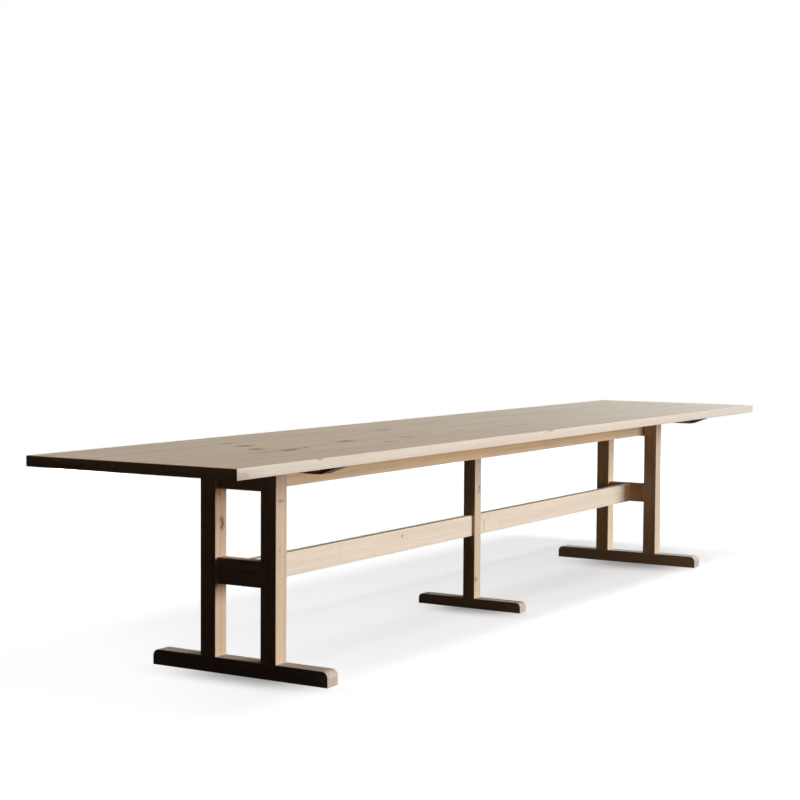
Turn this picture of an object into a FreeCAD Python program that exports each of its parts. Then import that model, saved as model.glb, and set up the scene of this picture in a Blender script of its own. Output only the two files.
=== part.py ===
import FreeCAD, Part
import os
import re
import Sketcher

# Trestle dining table: a long three-plank top on two H-shaped end trestles and a single centre leg,
# tied together by a low stretcher and by a pair of rails under the top.
#
# Frame: millimetres, +X along the table, +Y across it, +Z up. The origin is on the floor under the
# middle of the top. The left half lies at -X and the front at -Y.

# Driving dimensions. Every size that can be chosen by itself is written once, here.
SIZES = {
    # top
    "table_height": 730.0,
    "top_length": 4200.0,
    "top_width": 800.0,
    "top_thickness": 34.0,
    "front_plank_width": 305.0,
    "rear_plank_width": 235.0,
    "tongue_thickness": 8.0,
    "tongue_depth": 12.0,
    "tongue_end_margin": 60.0,
    # end trestles
    "end_overhang": 572.0,
    "post_width": 60.0,
    "post_depth": 60.0,
    "post_gap": 180.0,
    "foot_length": 696.0,
    "foot_height": 51.0,
    "foot_corner_radius": 22.0,
    "crossbar_thickness": 37.0,
    "crossbar_height": 86.0,
    "crossbar_level": 290.0,
    "upper_crossbar_height": 68.0,
    "batten_end_margin": 20.0,
    "batten_depth": 28.0,
    "batten_taper": 62.0,
    "batten_nose": 4.0,
    # rails and stretchers
    "rail_thickness": 30.0,
    "rail_setback": 7.0,
    "rail_step": 4.0,
    "stretcher_thickness": 30.0,
    "stretcher_step": 5.0,
    # centre leg
    "centre_post_width": 51.0,
    "centre_post_depth": 51.0,
    "centre_foot_length": 460.0,
    "centre_foot_height": 40.0,
    "centre_foot_corner_radius": 18.0,
    # mortise and tenon joints
    "post_tenon_thickness": 19.0,
    "post_tenon_width": 38.0,
    "foot_tenon_length": 34.0,
    "batten_tenon_length": 18.0,
    "crossbar_tenon_thickness": 13.0,
    "crossbar_tenon_length": 30.0,
    "rail_tenon_thickness": 12.0,
    "rail_tenon_length": 20.0,
    "stretcher_tenon_thickness": 12.0,
    "stretcher_tenon_length": 18.0,
    "cross_rail_tenon_length": 12.0,
    "centre_tenon_thickness": 16.0,
    "centre_tenon_width": 30.0,
    "centre_tenon_length": 26.0,
    "tenon_shoulder": 12.0,
    "tenon_play": 0.1,
    "mortise_relief": 1.0,
    # buttons that hold the top down on the rails
    "button_length": 40.0,
    "button_width": 30.0,
    "button_thickness": 20.0,
    "button_tongue_depth": 9.0,
    "button_tongue_thickness": 8.0,
    "button_gap": 0.5,
    "button_centre_margin": 300.0,
    "button_end_margin": 310.0,
    # screws and washers
    "screw_post_margin": 32.0,
    "screw_taper_margin": 16.0,
    "screw_shank_radius": 2.5,
    "screw_head_radius": 5.0,
    "screw_head_height": 3.5,
    "screw_head_edge": 1.5,
    "screw_bite": 20.0,
    "screw_point": 4.0,
    "screw_play": 0.1,
    "screw_hole_radius": 3.5,
    "counterbore_radius": 8.5,
    "counterbore_depth": 13.0,
    "washer_radius": 7.5,
    "washer_bore_radius": 2.8,
    "washer_thickness": 1.5,
    # softened arrises
    "edge_ease": 1.2,
}

# Levels and places that several pieces share, as formulas over the driving dimensions.
TOP_UNDERSIDE = "(table_height - top_thickness)"
BATTEN_UNDERSIDE = "(table_height - top_thickness - batten_depth)"
UPPER_CROSSBAR_LEVEL = f"({BATTEN_UNDERSIDE} - upper_crossbar_height)"
RAIL_LEVEL = f"({UPPER_CROSSBAR_LEVEL} + rail_step)"
POST_CENTRE = "(post_gap / 2 + post_width / 2)"
RAIL_CENTRE = "(post_gap / 2 - rail_setback - rail_thickness / 2)"
RAIL_GAP = f"(2 * {RAIL_CENTRE} - rail_thickness)"
TRESTLE_CENTRE = "(top_length / 2 - end_overhang)"
BATTEN_LENGTH = "(top_width - 2 * batten_end_margin)"
CROSSBAR_INNER_FACE = f"({TRESTLE_CENTRE} - crossbar_thickness / 2)"
STRETCHER_HEIGHT = "(crossbar_height - stretcher_step)"
FRONT_SEAM = "(front_plank_width - top_width / 2)"
REAR_SEAM = "(top_width / 2 - rear_plank_width)"
FIRST_SCREW = "(post_gap / 2 + post_width + screw_post_margin)"
LAST_SCREW = f"({BATTEN_LENGTH} / 2 - batten_taper - screw_taper_margin)"
BATTEN_SCREW_STATIONS = [FIRST_SCREW, f"(({FIRST_SCREW} + {LAST_SCREW}) / 2)", LAST_SCREW]
LAST_BUTTON = f"({CROSSBAR_INNER_FACE} - button_end_margin)"
BUTTON_STATIONS = ["button_centre_margin", f"((button_centre_margin + {LAST_BUTTON}) / 2)", LAST_BUTTON]
BUTTON_SCREW_LINE = f"({RAIL_GAP} / 2 - button_width / 2)"
BUTTON_UNDERSIDE = f"({TOP_UNDERSIDE} - button_gap - button_thickness)"
BATTEN_SCREW_SEAT = f"({BATTEN_UNDERSIDE} + counterbore_depth - washer_thickness)"
BATTEN_SCREW_LENGTH = "(batten_depth - counterbore_depth + washer_thickness + screw_bite)"
BUTTON_SCREW_LENGTH = "(button_thickness + button_gap + screw_bite)"
SIGNS = (-1, 1)

# Two lengths nearer than this, in millimetres, are the same place.
TOLERANCE = 1e-4

Z_AXIS = FreeCAD.Vector(0, 0, 1)
AHEAD = FreeCAD.Rotation(Z_AXIS, 0)
TURNED = FreeCAD.Rotation(Z_AXIS, 180)

document = FreeCAD.newDocument("trestle_dining_table")
nodes = []


def make_sheet():
    """Write the driving dimensions into a spreadsheet, one named cell each."""
    sheet = document.addObject("Spreadsheet::Sheet", "dims")
    for row, (name, value) in enumerate(SIZES.items(), start=1):
        sheet.set(f"A{row}", name)
        sheet.set(f"B{row}", str(value))
        sheet.setAlias(f"B{row}", name)
    document.recompute()
    return sheet


def formula(text):
    """Turn a formula over the size names into an expression over the spreadsheet's cells."""
    def refer(word):
        return "dims." + word.group() if word.group() in SIZES else word.group()
    return re.sub(r"[a-z_]+", refer, text)


def new_body(label):
    """Start a timber or metal piece whose label is also its file name."""
    body = document.addObject("PartDesign::Body", label)
    body.Label = label
    return body


def place(piece, x="0", y="0", z="0", turn=AHEAD):
    """Set a piece's place in the table's frame and keep it tied to the sheet."""
    piece.Placement = FreeCAD.Placement(FreeCAD.Vector(0, 0, 0), turn)
    for axis, text in (("x", x), ("y", y), ("z", z)):
        piece.setExpression(f".Placement.Base.{axis}", formula(text))


def new_sketch(body, role, offset):
    """Add a sketch on one of the body's origin planes, moved along that plane's normal."""
    sketch = body.newObject("Sketcher::SketchObject", f"{body.Name}_sketch")
    plane = next(item for item in body.Origin.OriginFeatures if item.Role == role)
    sketch.AttachmentSupport = [(plane, "")]
    sketch.MapMode = "FlatFace"
    sketch.setExpression("AttachmentOffset.Base.z", formula(offset))
    return sketch


def bind(sketch, kind, ends, text):
    """Add a dimension to a sketch and tie it to a formula."""
    index = sketch.addConstraint(Sketcher.Constraint(kind, *ends, 1.0))
    name = f"size_{index}"
    sketch.renameConstraint(index, name)
    sketch.setExpression(f"Constraints.{name}", formula(text))


def draw_polygon(sketch, corners):
    """Draw a closed polygon whose corners are pairs of formulas, counted from the origin."""
    first = sketch.GeometryCount
    count = len(corners)
    flat = [FreeCAD.Vector(10 * (step % 3), 10 * step, 0) for step in range(count)]
    for step in range(count):
        sketch.addGeometry(Part.LineSegment(flat[step], flat[(step + 1) % count]))
    for step in range(count):
        follower = first + (step + 1) % count
        sketch.addConstraint(Sketcher.Constraint("Coincident", first + step, 2, follower, 1))
    for step, (across, up) in enumerate(corners):
        bind(sketch, "DistanceX", (-1, 1, first + step, 1), across)
        bind(sketch, "DistanceY", (-1, 1, first + step, 1), up)


def draw_rectangle(sketch, middle, bottom, width, height):
    """Draw a rectangle centred on a vertical line through its middle."""
    left = f"({middle}) - ({width}) / 2"
    right = f"({middle}) + ({width}) / 2"
    top = f"({bottom}) + ({height})"
    draw_polygon(sketch, [(left, bottom), (right, bottom), (right, top), (left, top)])


def draw_circle(sketch, across, up, radius):
    """Draw a circle at a pair of formulas."""
    index = sketch.addGeometry(Part.Circle(FreeCAD.Vector(5, 5, 0), Z_AXIS, 1))
    bind(sketch, "DistanceX", (-1, 1, index, 3), across)
    bind(sketch, "DistanceY", (-1, 1, index, 3), up)
    bind(sketch, "Radius", (index,), radius)


def pad(body, sketch, length):
    """Extrude a sketch along its normal and add it to the body."""
    feature = body.newObject("PartDesign::Pad", f"{body.Name}_pad")
    feature.Profile = sketch
    feature.setExpression("Length", formula(length))
    document.recompute()
    return feature


def pocket(body, sketch, depth, along_normal):
    """Cut a sketch out of the body, along its normal or against it, and test that it cut."""
    before = body.Shape.Volume
    feature = body.newObject("PartDesign::Pocket", f"{body.Name}_pocket")
    feature.Profile = sketch
    feature.Reversed = along_normal
    feature.setExpression("Length", formula(depth))
    document.recompute()
    if body.Shape.Volume >= before:
        raise RuntimeError(f"{feature.Name} cuts nothing")
    return feature


def block(body, width, depth, bottom, height):
    """Add a block centred on the body's Z axis: width along X, depth along Y."""
    sketch = new_sketch(body, "XY_Plane", bottom)
    draw_rectangle(sketch, "0", f"-({depth}) / 2", width, depth)
    return pad(body, sketch, height)


def mortise_along_z(body, places, width, depth, level, length, upward):
    """Cut mortises along Z from a level: width along X, depth along Y."""
    sketch = new_sketch(body, "XY_Plane", level)
    for x, y in places:
        draw_rectangle(sketch, x, f"({y}) - ({depth}) / 2", width, depth)
    return pocket(body, sketch, length, upward)


def mortise_along_x(body, places, width, height, face, length, forward):
    """Cut mortises along X from a face: width along Y, height along Z."""
    sketch = new_sketch(body, "YZ_Plane", face)
    for y, bottom in places:
        draw_rectangle(sketch, y, bottom, width, height)
    return pocket(body, sketch, length, forward)


def mortise_along_y(body, places, width, height, face, length):
    """Cut mortises into a +Y face, towards -Y: width along X, height along Z."""
    sketch = new_sketch(body, "XZ_Plane", f"-({face})")
    for x, bottom in places:
        draw_rectangle(sketch, x, bottom, width, height)
    return pocket(body, sketch, length, True)


def drill_up(body, places, radius, level, length):
    """Drill round holes upwards from a level."""
    sketch = new_sketch(body, "XY_Plane", level)
    for x, y in places:
        draw_circle(sketch, x, y, radius)
    return pocket(body, sketch, length, True)


def round_edges(body, radius, wanted):
    """Round the straight edges of the body that a test on their end points picks."""
    base = body.Tip
    names = []
    for index, edge in enumerate(base.Shape.Edges, start=1):
        if len(edge.Vertexes) == 2 and wanted(edge.Vertexes[0].Point, edge.Vertexes[1].Point):
            names.append(f"Edge{index}")
    feature = body.newObject("PartDesign::Fillet", f"{body.Name}_round")
    feature.Base = (base, names)
    feature.setExpression("Radius", formula(radius))
    document.recompute()
    return feature


def size_of(text):
    """Work out a formula, or a single driving dimension, through the sheet."""
    return float(document.dims.evalExpression(formula(text)))


def same(first, second):
    """Tell whether two lengths are the same place."""
    return abs(first - second) < TOLERANCE


def keep(piece):
    """List a finished sub-part for export."""
    nodes.append(piece)
    return piece


def screw_places():
    """List every point of the top's underside that takes a screw, as pairs of formulas."""
    places = []
    for side in SIGNS:
        for station in BATTEN_SCREW_STATIONS:
            places += [(f"{side} * {TRESTLE_CENTRE}", f"{end} * {station}") for end in SIGNS]
        for station in BUTTON_STATIONS:
            places += [(f"{side} * {station}", f"{end} * {BUTTON_SCREW_LINE}") for end in SIGNS]
    return places


def make_plank(label, front, rear, seams):
    """Make one plank of the top between two lines across the table.

    Its glued edges are grooved for the loose tongues and its underside has the screw pilots.
    Only the arrises on the outside of the top are softened, so the seams close.
    """
    body = new_body(label)
    sketch = new_sketch(body, "XY_Plane", "0")
    draw_rectangle(sketch, "0", front, "top_length", f"({rear}) - ({front})")
    pad(body, sketch, "top_thickness")
    groove = new_sketch(body, "XY_Plane", "top_thickness / 2 - tongue_thickness / 2 - tenon_play")
    for seam in seams:
        draw_rectangle(groove, "0", f"{seam} - tongue_depth - mortise_relief / 2",
                       "top_length - 2 * tongue_end_margin + mortise_relief",
                       "2 * tongue_depth + mortise_relief")
    pocket(body, groove, "tongue_thickness + 2 * tenon_play", True)
    drill_up(body, screw_places(), "screw_shank_radius + screw_play", "0",
             "screw_bite + mortise_relief")
    half_length = size_of("top_length") / 2
    half_width = size_of("top_width") / 2

    def outside(start, end):
        on_end = same(abs(start.x), half_length) and same(start.x, end.x)
        on_side = same(abs(start.y), half_width) and same(start.y, end.y)
        return (on_end or on_side) and (same(start.z, end.z) or (on_end and on_side))

    round_edges(body, "edge_ease", outside)
    place(body, z=TOP_UNDERSIDE)
    return keep(body)


def make_tongue(label, seam):
    """Make the loose tongue that lines up two planks, hidden in their grooves."""
    body = new_body(label)
    block(body, "top_length - 2 * tongue_end_margin", "2 * tongue_depth", "0", "tongue_thickness")
    place(body, y=seam, z=f"{TOP_UNDERSIDE} + top_thickness / 2 - tongue_thickness / 2")
    return keep(body)


def make_foot(label, x, length, height, thickness, radius, tenons, tenon_size, tenon_length):
    """Make a sled foot: a bar across the table with its upper end corners rounded."""
    tenon_thickness, tenon_width = tenon_size
    body = new_body(label)
    block(body, thickness, length, "0", height)
    places = [("0", y) for y in tenons]
    mortise_along_z(body, places, f"{tenon_thickness} + 2 * tenon_play",
                    f"{tenon_width} + 2 * tenon_play", height,
                    f"{tenon_length} + mortise_relief", False)
    high, half_length, half_thick = size_of(height), size_of(length) / 2, size_of(thickness) / 2

    def upper_end(start, end):
        on_end = same(abs(start.y), half_length) and same(start.y, end.y)
        return on_end and same(start.z, high) and same(end.z, high)

    round_edges(body, radius, upper_end)

    def side_outline(start, end):
        on_side = same(abs(start.x), half_thick) and same(start.x, end.x)
        return on_side and max(start.z, end.z) > size_of("edge_ease")

    round_edges(body, "edge_ease", side_outline)
    place(body, x=x)
    return keep(body)


def long_edges(axis, first, second):
    """Return a test for edges along one axis at the given half sizes of the other two."""
    others = [name for name in "xyz" if name != axis]

    def wanted(start, end):
        for name, (low, high) in zip(others, (first, second)):
            value = getattr(start, name)
            if not same(value, getattr(end, name)) or not (same(value, low) or same(value, high)):
                return False
        return not same(getattr(start, axis), getattr(end, axis))

    return wanted


def make_post(label, x, y, turn):
    """Make a trestle post with a tenon at each end and two mortises in its inner (+Y) face."""
    body = new_body(label)
    block(body, "post_depth", "post_width", "foot_height", f"{BATTEN_UNDERSIDE} - foot_height")
    block(body, "post_tenon_thickness", "post_tenon_width",
          "foot_height - foot_tenon_length", "foot_tenon_length")
    block(body, "post_tenon_thickness", "post_tenon_width", BATTEN_UNDERSIDE, "batten_tenon_length")
    width = "crossbar_tenon_thickness + 2 * tenon_play"
    depth = "crossbar_tenon_length + mortise_relief"
    for level, height in (("crossbar_level", "crossbar_height"),
                          (UPPER_CROSSBAR_LEVEL, "upper_crossbar_height")):
        mortise_along_y(body, [("0", f"{level} + tenon_shoulder - tenon_play")], width,
                        f"{height} - 2 * tenon_shoulder + 2 * tenon_play", "post_width / 2", depth)
    half_depth, half_width = size_of("post_depth") / 2, size_of("post_width") / 2
    round_edges(body, "edge_ease",
                long_edges("z", (-half_depth, half_depth), (-half_width, half_width)))
    place(body, x=x, y=y, turn=turn)
    return keep(body)


def make_crossbar(label, x, turn, level, height):
    """Make a crossbar between two posts, tenoned into both."""
    body = new_body(label)
    block(body, "crossbar_thickness", "post_gap", level, height)
    block(body, "crossbar_tenon_thickness", "post_gap + 2 * crossbar_tenon_length",
          f"{level} + tenon_shoulder", f"{height} - 2 * tenon_shoulder")
    place(body, x=x, turn=turn)
    return keep(body)


def ease_crossbar(body, level, height):
    """Soften the four long arrises of a crossbar."""
    half_thick = size_of("crossbar_thickness") / 2
    heights = (size_of(level), size_of(level) + size_of(height))
    round_edges(body, "edge_ease", long_edges("y", (-half_thick, half_thick), heights))


def make_mid_crossbar(label, x, turn):
    """Make the low crossbar, with the stretcher's mortise in its inner (+X) face."""
    body = make_crossbar(label, x, turn, "crossbar_level", "crossbar_height")
    mortise_along_x(body, [("0", "crossbar_level + tenon_shoulder - tenon_play")],
                    "stretcher_tenon_thickness + 2 * tenon_play",
                    f"{STRETCHER_HEIGHT} - 2 * tenon_shoulder + 2 * tenon_play",
                    "crossbar_thickness / 2", "stretcher_tenon_length + mortise_relief", False)
    ease_crossbar(body, "crossbar_level", "crossbar_height")
    return body


def make_upper_crossbar(label, x, turn):
    """Make the high crossbar, with both rails' mortises in its inner (+X) face."""
    body = make_crossbar(label, x, turn, UPPER_CROSSBAR_LEVEL, "upper_crossbar_height")
    bottom = f"{RAIL_LEVEL} + tenon_shoulder - tenon_play"
    mortise_along_x(body, [(f"-{RAIL_CENTRE}", bottom), (RAIL_CENTRE, bottom)],
                    "rail_tenon_thickness + 2 * tenon_play",
                    "upper_crossbar_height - rail_step - 2 * tenon_shoulder + 2 * tenon_play",
                    "crossbar_thickness / 2", "rail_tenon_length + mortise_relief", False)
    ease_crossbar(body, UPPER_CROSSBAR_LEVEL, "upper_crossbar_height")
    return body


def make_batten(label, x, turn):
    """Make the batten under the top: a bar across the table whose ends slope up to a thin nose.

    Posts are tenoned into it, and it is drilled and counterbored for the screws of the top.
    """
    body = new_body(label)
    profile = new_sketch(body, "YZ_Plane", "-post_depth / 2")
    draw_polygon(profile, [
        (f"-{BATTEN_LENGTH} / 2", TOP_UNDERSIDE),
        (f"-{BATTEN_LENGTH} / 2", f"{TOP_UNDERSIDE} - batten_nose"),
        (f"batten_taper - {BATTEN_LENGTH} / 2", BATTEN_UNDERSIDE),
        (f"{BATTEN_LENGTH} / 2 - batten_taper", BATTEN_UNDERSIDE),
        (f"{BATTEN_LENGTH} / 2", f"{TOP_UNDERSIDE} - batten_nose"),
        (f"{BATTEN_LENGTH} / 2", TOP_UNDERSIDE),
    ])
    pad(body, profile, "post_depth")
    mortise_along_z(body, [("0", f"-{POST_CENTRE}"), ("0", POST_CENTRE)],
                    "post_tenon_thickness + 2 * tenon_play", "post_tenon_width + 2 * tenon_play",
                    BATTEN_UNDERSIDE, "batten_tenon_length + mortise_relief", True)
    places = [("0", f"{side} * {station}") for side in SIGNS for station in BATTEN_SCREW_STATIONS]
    drill_up(body, places, "screw_hole_radius", BATTEN_UNDERSIDE, "batten_depth")
    drill_up(body, places, "counterbore_radius", BATTEN_UNDERSIDE, "counterbore_depth")
    half_depth = size_of("post_depth") / 2
    top = size_of(TOP_UNDERSIDE)

    def side_outline(start, end):
        on_side = same(abs(start.x), half_depth) and same(start.x, end.x)
        return on_side and min(start.z, end.z) < top - TOLERANCE

    round_edges(body, "edge_ease", side_outline)
    place(body, x=x, turn=turn)
    return keep(body)


def make_trestle(side, x, turn):
    """Make the six timbers of one end trestle; its inner side faces the middle of the table."""
    make_foot(f"{side}_foot", x, "foot_length", "foot_height", "post_depth", "foot_corner_radius",
              [f"-{POST_CENTRE}", POST_CENTRE], ("post_tenon_thickness", "post_tenon_width"),
              "foot_tenon_length")
    make_post(f"{side}_front_post", x, f"-{POST_CENTRE}", AHEAD)
    make_post(f"{side}_rear_post", x, POST_CENTRE, TURNED)
    make_mid_crossbar(f"{side}_mid_crossbar", x, turn)
    make_upper_crossbar(f"{side}_upper_crossbar", x, turn)
    make_batten(f"{side}_top_batten", x, turn)


def make_stretcher(label, x, turn):
    """Make one half of the low stretcher, between an end trestle and the centre post.

    Its underside is level with the crossbar's, and its upper face lies a step lower.
    """
    body = new_body(label)
    length = f"{CROSSBAR_INNER_FACE} - centre_post_depth / 2"
    block(body, length, "stretcher_thickness", "crossbar_level", STRETCHER_HEIGHT)
    block(body, f"{length} + 2 * stretcher_tenon_length", "stretcher_tenon_thickness",
          "crossbar_level + tenon_shoulder", f"{STRETCHER_HEIGHT} - 2 * tenon_shoulder")
    half_thick = size_of("stretcher_thickness") / 2
    heights = (size_of("crossbar_level"), size_of("crossbar_level") + size_of(STRETCHER_HEIGHT))
    round_edges(body, "edge_ease", long_edges("x", (-half_thick, half_thick), heights))
    place(body, x=x, turn=turn)
    return keep(body)


def make_rail(label, y, turn):
    """Make one upper rail. Its inner face is at +Y.

    It fills the height from its own level to the top, but steps back at both ends to pass under
    the battens, and its lower part is tenoned into the upper crossbars. The inner face is mortised
    for the buttons and for the centre cross rail.
    """
    body = new_body(label)
    low_height = "(upper_crossbar_height - rail_step)"
    block(body, f"2 * {CROSSBAR_INNER_FACE}", "rail_thickness", RAIL_LEVEL, low_height)
    block(body, f"2 * ({TRESTLE_CENTRE} - post_depth / 2)", "rail_thickness", RAIL_LEVEL,
          f"{low_height} + batten_depth")
    block(body, f"2 * {CROSSBAR_INNER_FACE} + 2 * rail_tenon_length", "rail_tenon_thickness",
          f"{RAIL_LEVEL} + tenon_shoulder", f"{low_height} - 2 * tenon_shoulder")
    buttons = [(f"{side} * {station}", f"{BUTTON_UNDERSIDE} - mortise_relief")
               for side in SIGNS for station in BUTTON_STATIONS]
    mortise_along_y(body, buttons, "button_length + 2 * mortise_relief",
                    "button_tongue_thickness + mortise_relief", "rail_thickness / 2",
                    "button_tongue_depth + mortise_relief")
    mortise_along_y(body, [("0", f"{RAIL_LEVEL} + tenon_shoulder - tenon_play")],
                    "crossbar_tenon_thickness + 2 * tenon_play",
                    f"{low_height} + batten_depth - 2 * tenon_shoulder + 2 * tenon_play",
                    "rail_thickness / 2", "cross_rail_tenon_length + mortise_relief")
    half_thick = size_of("rail_thickness") / 2
    level = size_of(RAIL_LEVEL)
    round_edges(body, "edge_ease", long_edges("x", (-half_thick, half_thick), (level, level)))
    place(body, y=y, turn=turn)
    return keep(body)


def make_centre_leg():
    """Make the centre foot, the centre post and the cross rail that joins it to both rails."""
    make_foot("centre_foot", "0", "centre_foot_length", "centre_foot_height", "centre_post_depth",
              "centre_foot_corner_radius", ["0"], ("centre_tenon_thickness", "centre_tenon_width"),
              "centre_tenon_length")
    make_centre_post()
    make_cross_rail()


def make_centre_post():
    """Make the slimmer centre post, tenoned at both ends and mortised on both X faces."""
    body = new_body("centre_post")
    block(body, "centre_post_depth", "centre_post_width", "centre_foot_height",
          f"{RAIL_LEVEL} - centre_foot_height")
    block(body, "centre_tenon_thickness", "centre_tenon_width",
          "centre_foot_height - centre_tenon_length", "centre_tenon_length")
    block(body, "centre_tenon_thickness", "centre_tenon_width", RAIL_LEVEL, "centre_tenon_length")
    for side in SIGNS:
        mortise_along_x(body, [("0", "crossbar_level + tenon_shoulder - tenon_play")],
                        "stretcher_tenon_thickness + 2 * tenon_play",
                        f"{STRETCHER_HEIGHT} - 2 * tenon_shoulder + 2 * tenon_play",
                        f"{side} * centre_post_depth / 2",
                        "stretcher_tenon_length + mortise_relief", side < 0)
    half_depth, half_width = size_of("centre_post_depth") / 2, size_of("centre_post_width") / 2
    round_edges(body, "edge_ease",
                long_edges("z", (-half_depth, half_depth), (-half_width, half_width)))
    return keep(body)


def make_cross_rail():
    """Make the short rail between the two upper rails, which carries the centre post's top."""
    body = new_body("centre_cross_rail")
    height = "(upper_crossbar_height - rail_step + batten_depth)"
    block(body, "crossbar_thickness", RAIL_GAP, RAIL_LEVEL, height)
    block(body, "crossbar_tenon_thickness", f"{RAIL_GAP} + 2 * cross_rail_tenon_length",
          f"{RAIL_LEVEL} + tenon_shoulder", f"{height} - 2 * tenon_shoulder")
    mortise_along_z(body, [("0", "0")], "centre_tenon_thickness + 2 * tenon_play",
                    "centre_tenon_width + 2 * tenon_play", RAIL_LEVEL,
                    "centre_tenon_length + mortise_relief", True)
    return keep(body)


def make_button():
    """Make one button: a block under the top with a tongue that grips the rail's mortise.

    Its own Z axis is its screw's, its underside is at zero and its tongue points to -Y.
    """
    body = new_body("button")
    block(body, "button_length", "button_width", "0", "button_thickness")
    tongue = new_sketch(body, "XY_Plane", "0")
    draw_rectangle(tongue, "0", "-button_width / 2 - button_tongue_depth", "button_length",
                   "button_tongue_depth + button_width / 2 - screw_head_radius")
    pad(body, tongue, "button_tongue_thickness")
    drill_up(body, [("0", "0")], "screw_hole_radius", "0", "button_thickness")
    return body


def make_screw(label, length):
    """Make one screw that points up, with the underside of its head at zero."""
    body = new_body(label)
    sketch = new_sketch(body, "XZ_Plane", "0")
    draw_polygon(sketch, [
        ("0", "-screw_head_height"),
        ("screw_head_radius - screw_head_edge", "-screw_head_height"),
        ("screw_head_radius", "screw_head_edge - screw_head_height"),
        ("screw_head_radius", "0"),
        ("screw_shank_radius", "0"),
        ("screw_shank_radius", f"{length} - screw_point"),
        ("0", length),
    ])
    feature = body.newObject("PartDesign::Revolution", f"{label}_turn")
    feature.Profile = sketch
    feature.ReferenceAxis = (sketch, ["V_Axis"])
    feature.Angle = 360
    document.recompute()
    return body


def make_washer():
    """Make one flat washer with its underside at zero."""
    body = new_body("washer")
    sketch = new_sketch(body, "XY_Plane", "0")
    draw_circle(sketch, "0", "0", "washer_radius")
    draw_circle(sketch, "0", "0", "washer_bore_radius")
    pad(body, sketch, "washer_thickness")
    return body


def make_group(label, pattern, places):
    """Group copies of one small piece, each at its own place, as one node of separate solids."""
    copies = []
    for x, y, z, turn in places:
        copy = document.addObject("App::Link", f"{label}_copy")
        copy.LinkedObject = pattern
        copy.LinkTransform = False
        place(copy, x, y, z, turn)
        copies.append(copy)
    group = document.addObject("Part::Compound", label)
    group.Label = label
    group.Links = copies
    document.recompute()
    return keep(group)


def make_fastenings():
    """Make the screws and washers of the battens, and the buttons of the rails."""
    batten_places = [(f"{side} * {TRESTLE_CENTRE}", f"{end} * {station}")
                     for side in SIGNS for end in SIGNS for station in BATTEN_SCREW_STATIONS]
    make_group("batten_screws", make_screw("batten_screw", BATTEN_SCREW_LENGTH),
               [(x, y, BATTEN_SCREW_SEAT, AHEAD) for x, y in batten_places])
    make_group("batten_washers", make_washer(),
               [(x, y, BATTEN_SCREW_SEAT, AHEAD) for x, y in batten_places])
    button_places = [(f"{side} * {station}", f"{end} * {BUTTON_SCREW_LINE}", BUTTON_UNDERSIDE,
                      AHEAD if end < 0 else TURNED)
                     for side in SIGNS for end in SIGNS for station in BUTTON_STATIONS]
    make_group("table_buttons", make_button(), button_places)
    make_group("button_screws", make_screw("button_screw", BUTTON_SCREW_LENGTH), button_places)


def make_table():
    """Make every piece of the table."""
    make_plank("front_plank", "-top_width / 2", FRONT_SEAM, [FRONT_SEAM])
    make_plank("middle_plank", FRONT_SEAM, REAR_SEAM, [FRONT_SEAM, REAR_SEAM])
    make_plank("rear_plank", REAR_SEAM, "top_width / 2", [REAR_SEAM])
    make_tongue("front_tongue", FRONT_SEAM)
    make_tongue("rear_tongue", REAR_SEAM)
    make_trestle("left", f"-{TRESTLE_CENTRE}", AHEAD)
    make_trestle("right", TRESTLE_CENTRE, TURNED)
    half_way = f"({CROSSBAR_INNER_FACE} + centre_post_depth / 2) / 2"
    make_stretcher("left_stretcher", f"-{half_way}", AHEAD)
    make_stretcher("right_stretcher", half_way, TURNED)
    make_rail("front_upper_rail", f"-{RAIL_CENTRE}", AHEAD)
    make_rail("rear_upper_rail", RAIL_CENTRE, TURNED)
    make_centre_leg()
    make_fastenings()


def check_document():
    """Stop if any object failed or any sub-part has no valid solid."""
    for item in document.Objects:
        if "Invalid" in item.State or "Error" in item.State:
            raise RuntimeError(f"{item.Name} failed: {item.State}")
    for piece in nodes:
        if piece.Shape.isNull() or not piece.Shape.isValid() or not piece.Shape.Solids:
            raise RuntimeError(f"{piece.Label} has no valid solid")


def write_parts():
    """Write each sub-part to its own file."""
    os.makedirs("parts", exist_ok=True)
    for piece in nodes:
        piece.Shape.exportStep(f"parts/{piece.Label}.step")
        box = piece.Shape.BoundBox
        print(f"{piece.Label}: {len(piece.Shape.Solids)} solid(s), "
              f"{box.XLength:.1f} x {box.YLength:.1f} x {box.ZLength:.1f} mm")


make_sheet()
make_table()
document.recompute()
check_document()
write_parts()
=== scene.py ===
import math
from typing import NamedTuple
import bpy
import numpy as np
from mathutils import Euler, Matrix, Vector


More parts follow.
